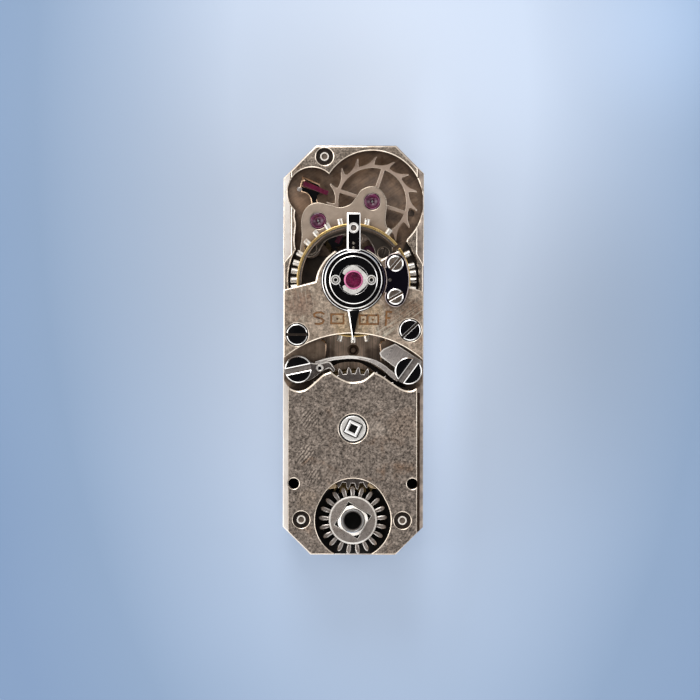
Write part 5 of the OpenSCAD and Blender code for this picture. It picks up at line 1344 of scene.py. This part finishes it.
b.plate(teeth(8, mt, mesh_phase(heading(T, F), 60, heading(T, F), 8), F, 0.8, 1.15, 0.36, 0.16), 1.08, 1.33, c=0.006)
b.make("fourth_arbor_fine", "fourth", [M_STEEL, M_STEEL], ["fourth_arbor"])

# ---------------------------------------------------------------- dial side
cnp = heading(C, M_)
b = Solid()
b.plate(teeth(10, md, cnp, C, 0.8, 1.15, 0.36, 0.16) - circ(C, 0.1), 0.17, 0.32, c=0.006)
b.lathe(C, [(0, -0.78), (0.165, -0.78), (0.18, -0.765), (0.18, -0.5), (0.19, -0.5), (0.2, -0.485), (0.2, 0.18), (0.1, 0.18)], 0)
b.make("cannon_pinion_fine", "centre", [M_STEEL, M_STEEL], ["cannon_pinion"])
mnp = mesh_phase(cnp, 10, heading(C, M_), 30)
b = Solid()
b.stack([dict(z0=0.07, z1=0.19, r=teeth(8, md, 90, M_, 0.8, 1.15, 0.36, 0.16) - circ(M_, 0.13), top=0, side=0),
         dict(z0=0.19, z1=0.27, r=teeth(30, md, mnp, M_, 0.9, 1.2) - circ(M_, 0.13), c=0.006, top=0, edge=0, side=0)])
b.make("minute_wheel_fine", "minute", [M_BRASS], ["minute_wheel"])
b = Solid()
b.plate(teeth(32, md, mesh_phase(90, 8, heading(M_, C), 32), C, 0.9, 1.2) - circ(C, 0.3), 0.07, 0.15, c=0.006, edge=0)
b.lathe(C, [(0.24, -0.45), (0.345, -0.45), (0.36, -0.435), (0.36, 0.0), (0.55, 0.0), (0.55, 0.1), (0.24, 0.1)], 0, closed=True)
b.make("hour_wheel_fine", "hour", [M_BRASS], ["hour_wheel"])
jp = mesh_phase(mnp, 30, heading(M_, J), 38)
sp = mesh_phase(jp, 38, heading(J, S), 38)
b = Solid()
b.plate(teeth(38, md, jp, J, 0.9, 1.2) - circ(J, 0.13), 0.19, 0.27, c=0.006)
b.make("intermediate_wheel_fine", "intermediate", [M_WHEEL, M_STEEL], ["intermediate_wheel"])
b = Solid()
b.plate(teeth(38, md, sp, S, 0.9, 1.2) - circ(S, 0.13), 0.19, 0.27, c=0.006)
b.make("setting_wheel_fine", "setting", [M_WHEEL, M_STEEL], ["setting_wheel"])
b = Solid()
b.plate(cov - holes([S1, S2], 0.1), 0.0, 0.05, c=0.0, top=0, side=1)
b.make("setting_cover_fine", "root", [M_GREY, M_STEEL], ["setting_cover"])
b = Solid()
for q, a in ((S1, 30), (S2, 110)):
    xf = Matrix.Translation((q[0], q[1], 0)) @ Matrix.Rotation(math.pi, 4, "X")
    hd = circ((0, 0), 0.2)
    sl = bar(-polar(0.3, a), polar(0.3, a), 0.03)
    b.stack([dict(z0=-0.5, z1=-0.04, r=circ((0, 0), 0.1), top=0, side=0), dict(z0=-0.04, z1=-0.005, r=hd, top=1, side=0),
             dict(z0=-0.005, z1=0.04, r=hd - sl, c=0.02, top=0, edge=0, side=0, steps=2)], xf=xf)
b.make("setting_cover_screws_fine", "root", [M_STEEL, M_HOLE_SHADE], ["setting_cover_screws"])

# ---------------------------------------------------------------- pieces that stay as the CAD has them
keep = {"train_jewels": M_RUBY, "balance_hole_jewels": M_RUBY, "lower_endstone": M_RUBY_DEEP, "banking_pins": M_STEEL, "mainspring": M_SPRING}
for node, mt_ in keep.items():
    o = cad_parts[node]
    o.data.materials.clear()
    o.data.materials.append(mt_)
for node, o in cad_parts.items():
    if not o.hide_render and node not in keep:
        o.data.materials.clear()
        o.data.materials.append(M_GREY)
        print("plain node:", node)

# ---------------------------------------------------------------- floor, light and camera
bpy.ops.mesh.primitive_plane_add(size=0.6, location=(0, 0, cad_box[0][2] - 0.00002))
floor = bpy.context.object
floor.name = "floor"
g = G("floor_pale_blue")
dist = g.node("ShaderNodeVectorMath", operation="LENGTH")
g.link(g.mapping(g.mm, scale=(1, 0.45, 0), loc=(-0.9, -3.8, 0)), dist.inputs[0])
# The floor colour is palest near the movement's top end and deepens to blue further out: painted fall-off of light.
fade = g.node("ShaderNodeValToRGB")
while len(fade.color_ramp.elements) < 5:
    fade.color_ramp.elements.new(0.5)
for el, (pos, c) in zip(fade.color_ramp.elements, [(0.0, (0.44, 0.495, 0.59)), (0.30, (0.40, 0.465, 0.575)), (0.51, (0.27, 0.34, 0.455)), (0.70, (0.17, 0.24, 0.355)), (0.88, (0.145, 0.215, 0.34))]):
    el.position = pos
    el.color = (*c, 1)
g.link(g.ramp(dist.outputs["Value"], 0, 17), fade.inputs["Fac"])
# pools of more and less light on the pale floor: (x, y, scale x, scale y, reach, gain at the centre)
gain = None
for cx, cy, sx, sy, reach, k in ((-4.6, 5.0, 1, 0.8, 9.5, 0.80), (8.0, 1.0, 1, 0.6, 5.5, 0.80), (2.75, -0.4, 1, 0.17, 1.9, 1.34), (11.6, 11.5, 1, 1, 5.0, 1.25)):
    away = g.node("ShaderNodeVectorMath", operation="LENGTH")
    g.link(g.mapping(g.mm, scale=(sx, sy, 0), loc=(-cx * sx, -cy * sy, 0)), away.inputs[0])
    one = g.ramp(away.outputs["Value"], 0, reach, k, 1, True)
    gain = one if gain is None else g.math("MULTIPLY", gain, one)
pale = g.node("ShaderNodeVectorMath", operation="SCALE")
g.link(fade.outputs["Color"], pale.inputs[0])
g.link(gain, pale.inputs["Scale"])
g.link(g.mix(g.ramp(g.noise(0.05, 2, 0.5), 0.35, 0.65, 0, 0.06), pale.outputs[0], (0.5, 0.6, 0.75)), g.p.inputs["Base Color"])
g.p.inputs["Roughness"].default_value = 0.75
# The floor glows (emission) like a light box, which lightens the movement's cast shadow: painted light.
g.link(pale.outputs[0], g.p.inputs["Emission Color"])
g.p.inputs["Emission Strength"].default_value = 0.42
g.p.inputs["Specular IOR Level"].default_value = 0.2
floor.data.materials.append(g.mat)

world = bpy.data.worlds.new("studio")
bpy.context.scene.world = world
world.use_nodes = True
wt = world.node_tree
wt.nodes.clear()
wo, bg, wtc = wt.nodes.new("ShaderNodeOutputWorld"), wt.nodes.new("ShaderNodeBackground"), wt.nodes.new("ShaderNodeTexCoord")
sep, rmp = wt.nodes.new("ShaderNodeSeparateXYZ"), wt.nodes.new("ShaderNodeValToRGB")
wt.links.new(wtc.outputs["Generated"], sep.inputs[0])
wt.links.new(sep.outputs["Z"], rmp.inputs["Fac"])
cr = rmp.color_ramp
cr.interpolation = "EASE"
while len(cr.elements) < 6:
    cr.elements.new(0.5)
for el, (pos, v) in zip(cr.elements, [(0.0, 0.42), (0.12, 0.62), (0.38, 1.0), (0.62, 0.9), (0.84, 0.22), (1.0, 0.14)]):
    el.position = pos
    el.color = (v, v, v, 1)
bg.inputs["Strength"].default_value = 1.5
sidev = wt.nodes.new("ShaderNodeMapRange")
sidev.inputs["From Min"].default_value = -0.65
sidev.inputs["From Max"].default_value = 0.75
sidev.inputs["To Min"].default_value = 1.2
sidev.inputs["To Max"].default_value = 0.5
wt.links.new(sep.outputs["X"], sidev.inputs["Value"])
wmul = wt.nodes.new("ShaderNodeVectorMath")
wmul.operation = "SCALE"
wt.links.new(rmp.outputs["Color"], wmul.inputs[0])
wt.links.new(sidev.outputs[0], wmul.inputs["Scale"])
wt.links.new(wmul.outputs[0], bg.inputs["Color"])
wt.links.new(bg.outputs[0], wo.inputs[0])


def area(name, loc, size, power, target=(0, 0, 0.002), color=(1, 1, 1), size_y=None):
    l = bpy.data.lights.new(name, "AREA")
    l.shape = "RECTANGLE"
    l.size, l.size_y = size, size_y or size
    l.energy = power
    l.color = color
    o = bpy.data.objects.new(name, l)
    bpy.context.scene.collection.objects.link(o)
    o.location = loc
    d = Vector(target) - Vector(loc)
    o.rotation_euler = d.to_track_quat("-Z", "Y").to_euler()
    return o


area("key_top", (-0.02, 0.085, 0.085), 0.06, 0.055, color=(1.0, 0.975, 0.94))
area("side_left", (-0.095, 0.0, 0.06), 0.07, 0.026, color=(1.0, 0.98, 0.95))
area("side_right", (0.095, 0.01, 0.06), 0.07, 0.024, color=(0.97, 0.98, 1.0))
area("low_front", (0.01, -0.1, 0.06), 0.08, 0.022)

cam_d = bpy.data.cameras.new("camera")
cam = bpy.data.objects.new("camera", cam_d)
bpy.context.scene.collection.objects.link(cam)
cam_d.lens = 500
cam_d.sensor_width = 36
cam_d.clip_start = 0.01
cam_d.clip_end = 5
frame_w = 700 * 0.0341 * MM
cam.location = ((350 - 353.3) * 0.0341 * MM, (350.2 - 350) * 0.0341 * MM, frame_w * 500 / 36 + 0.0027)
cam.rotation_euler = (0, 0, math.radians(0.16))
bpy.context.scene.camera = cam
bpy.context.scene.view_settings.view_transform = "Standard"
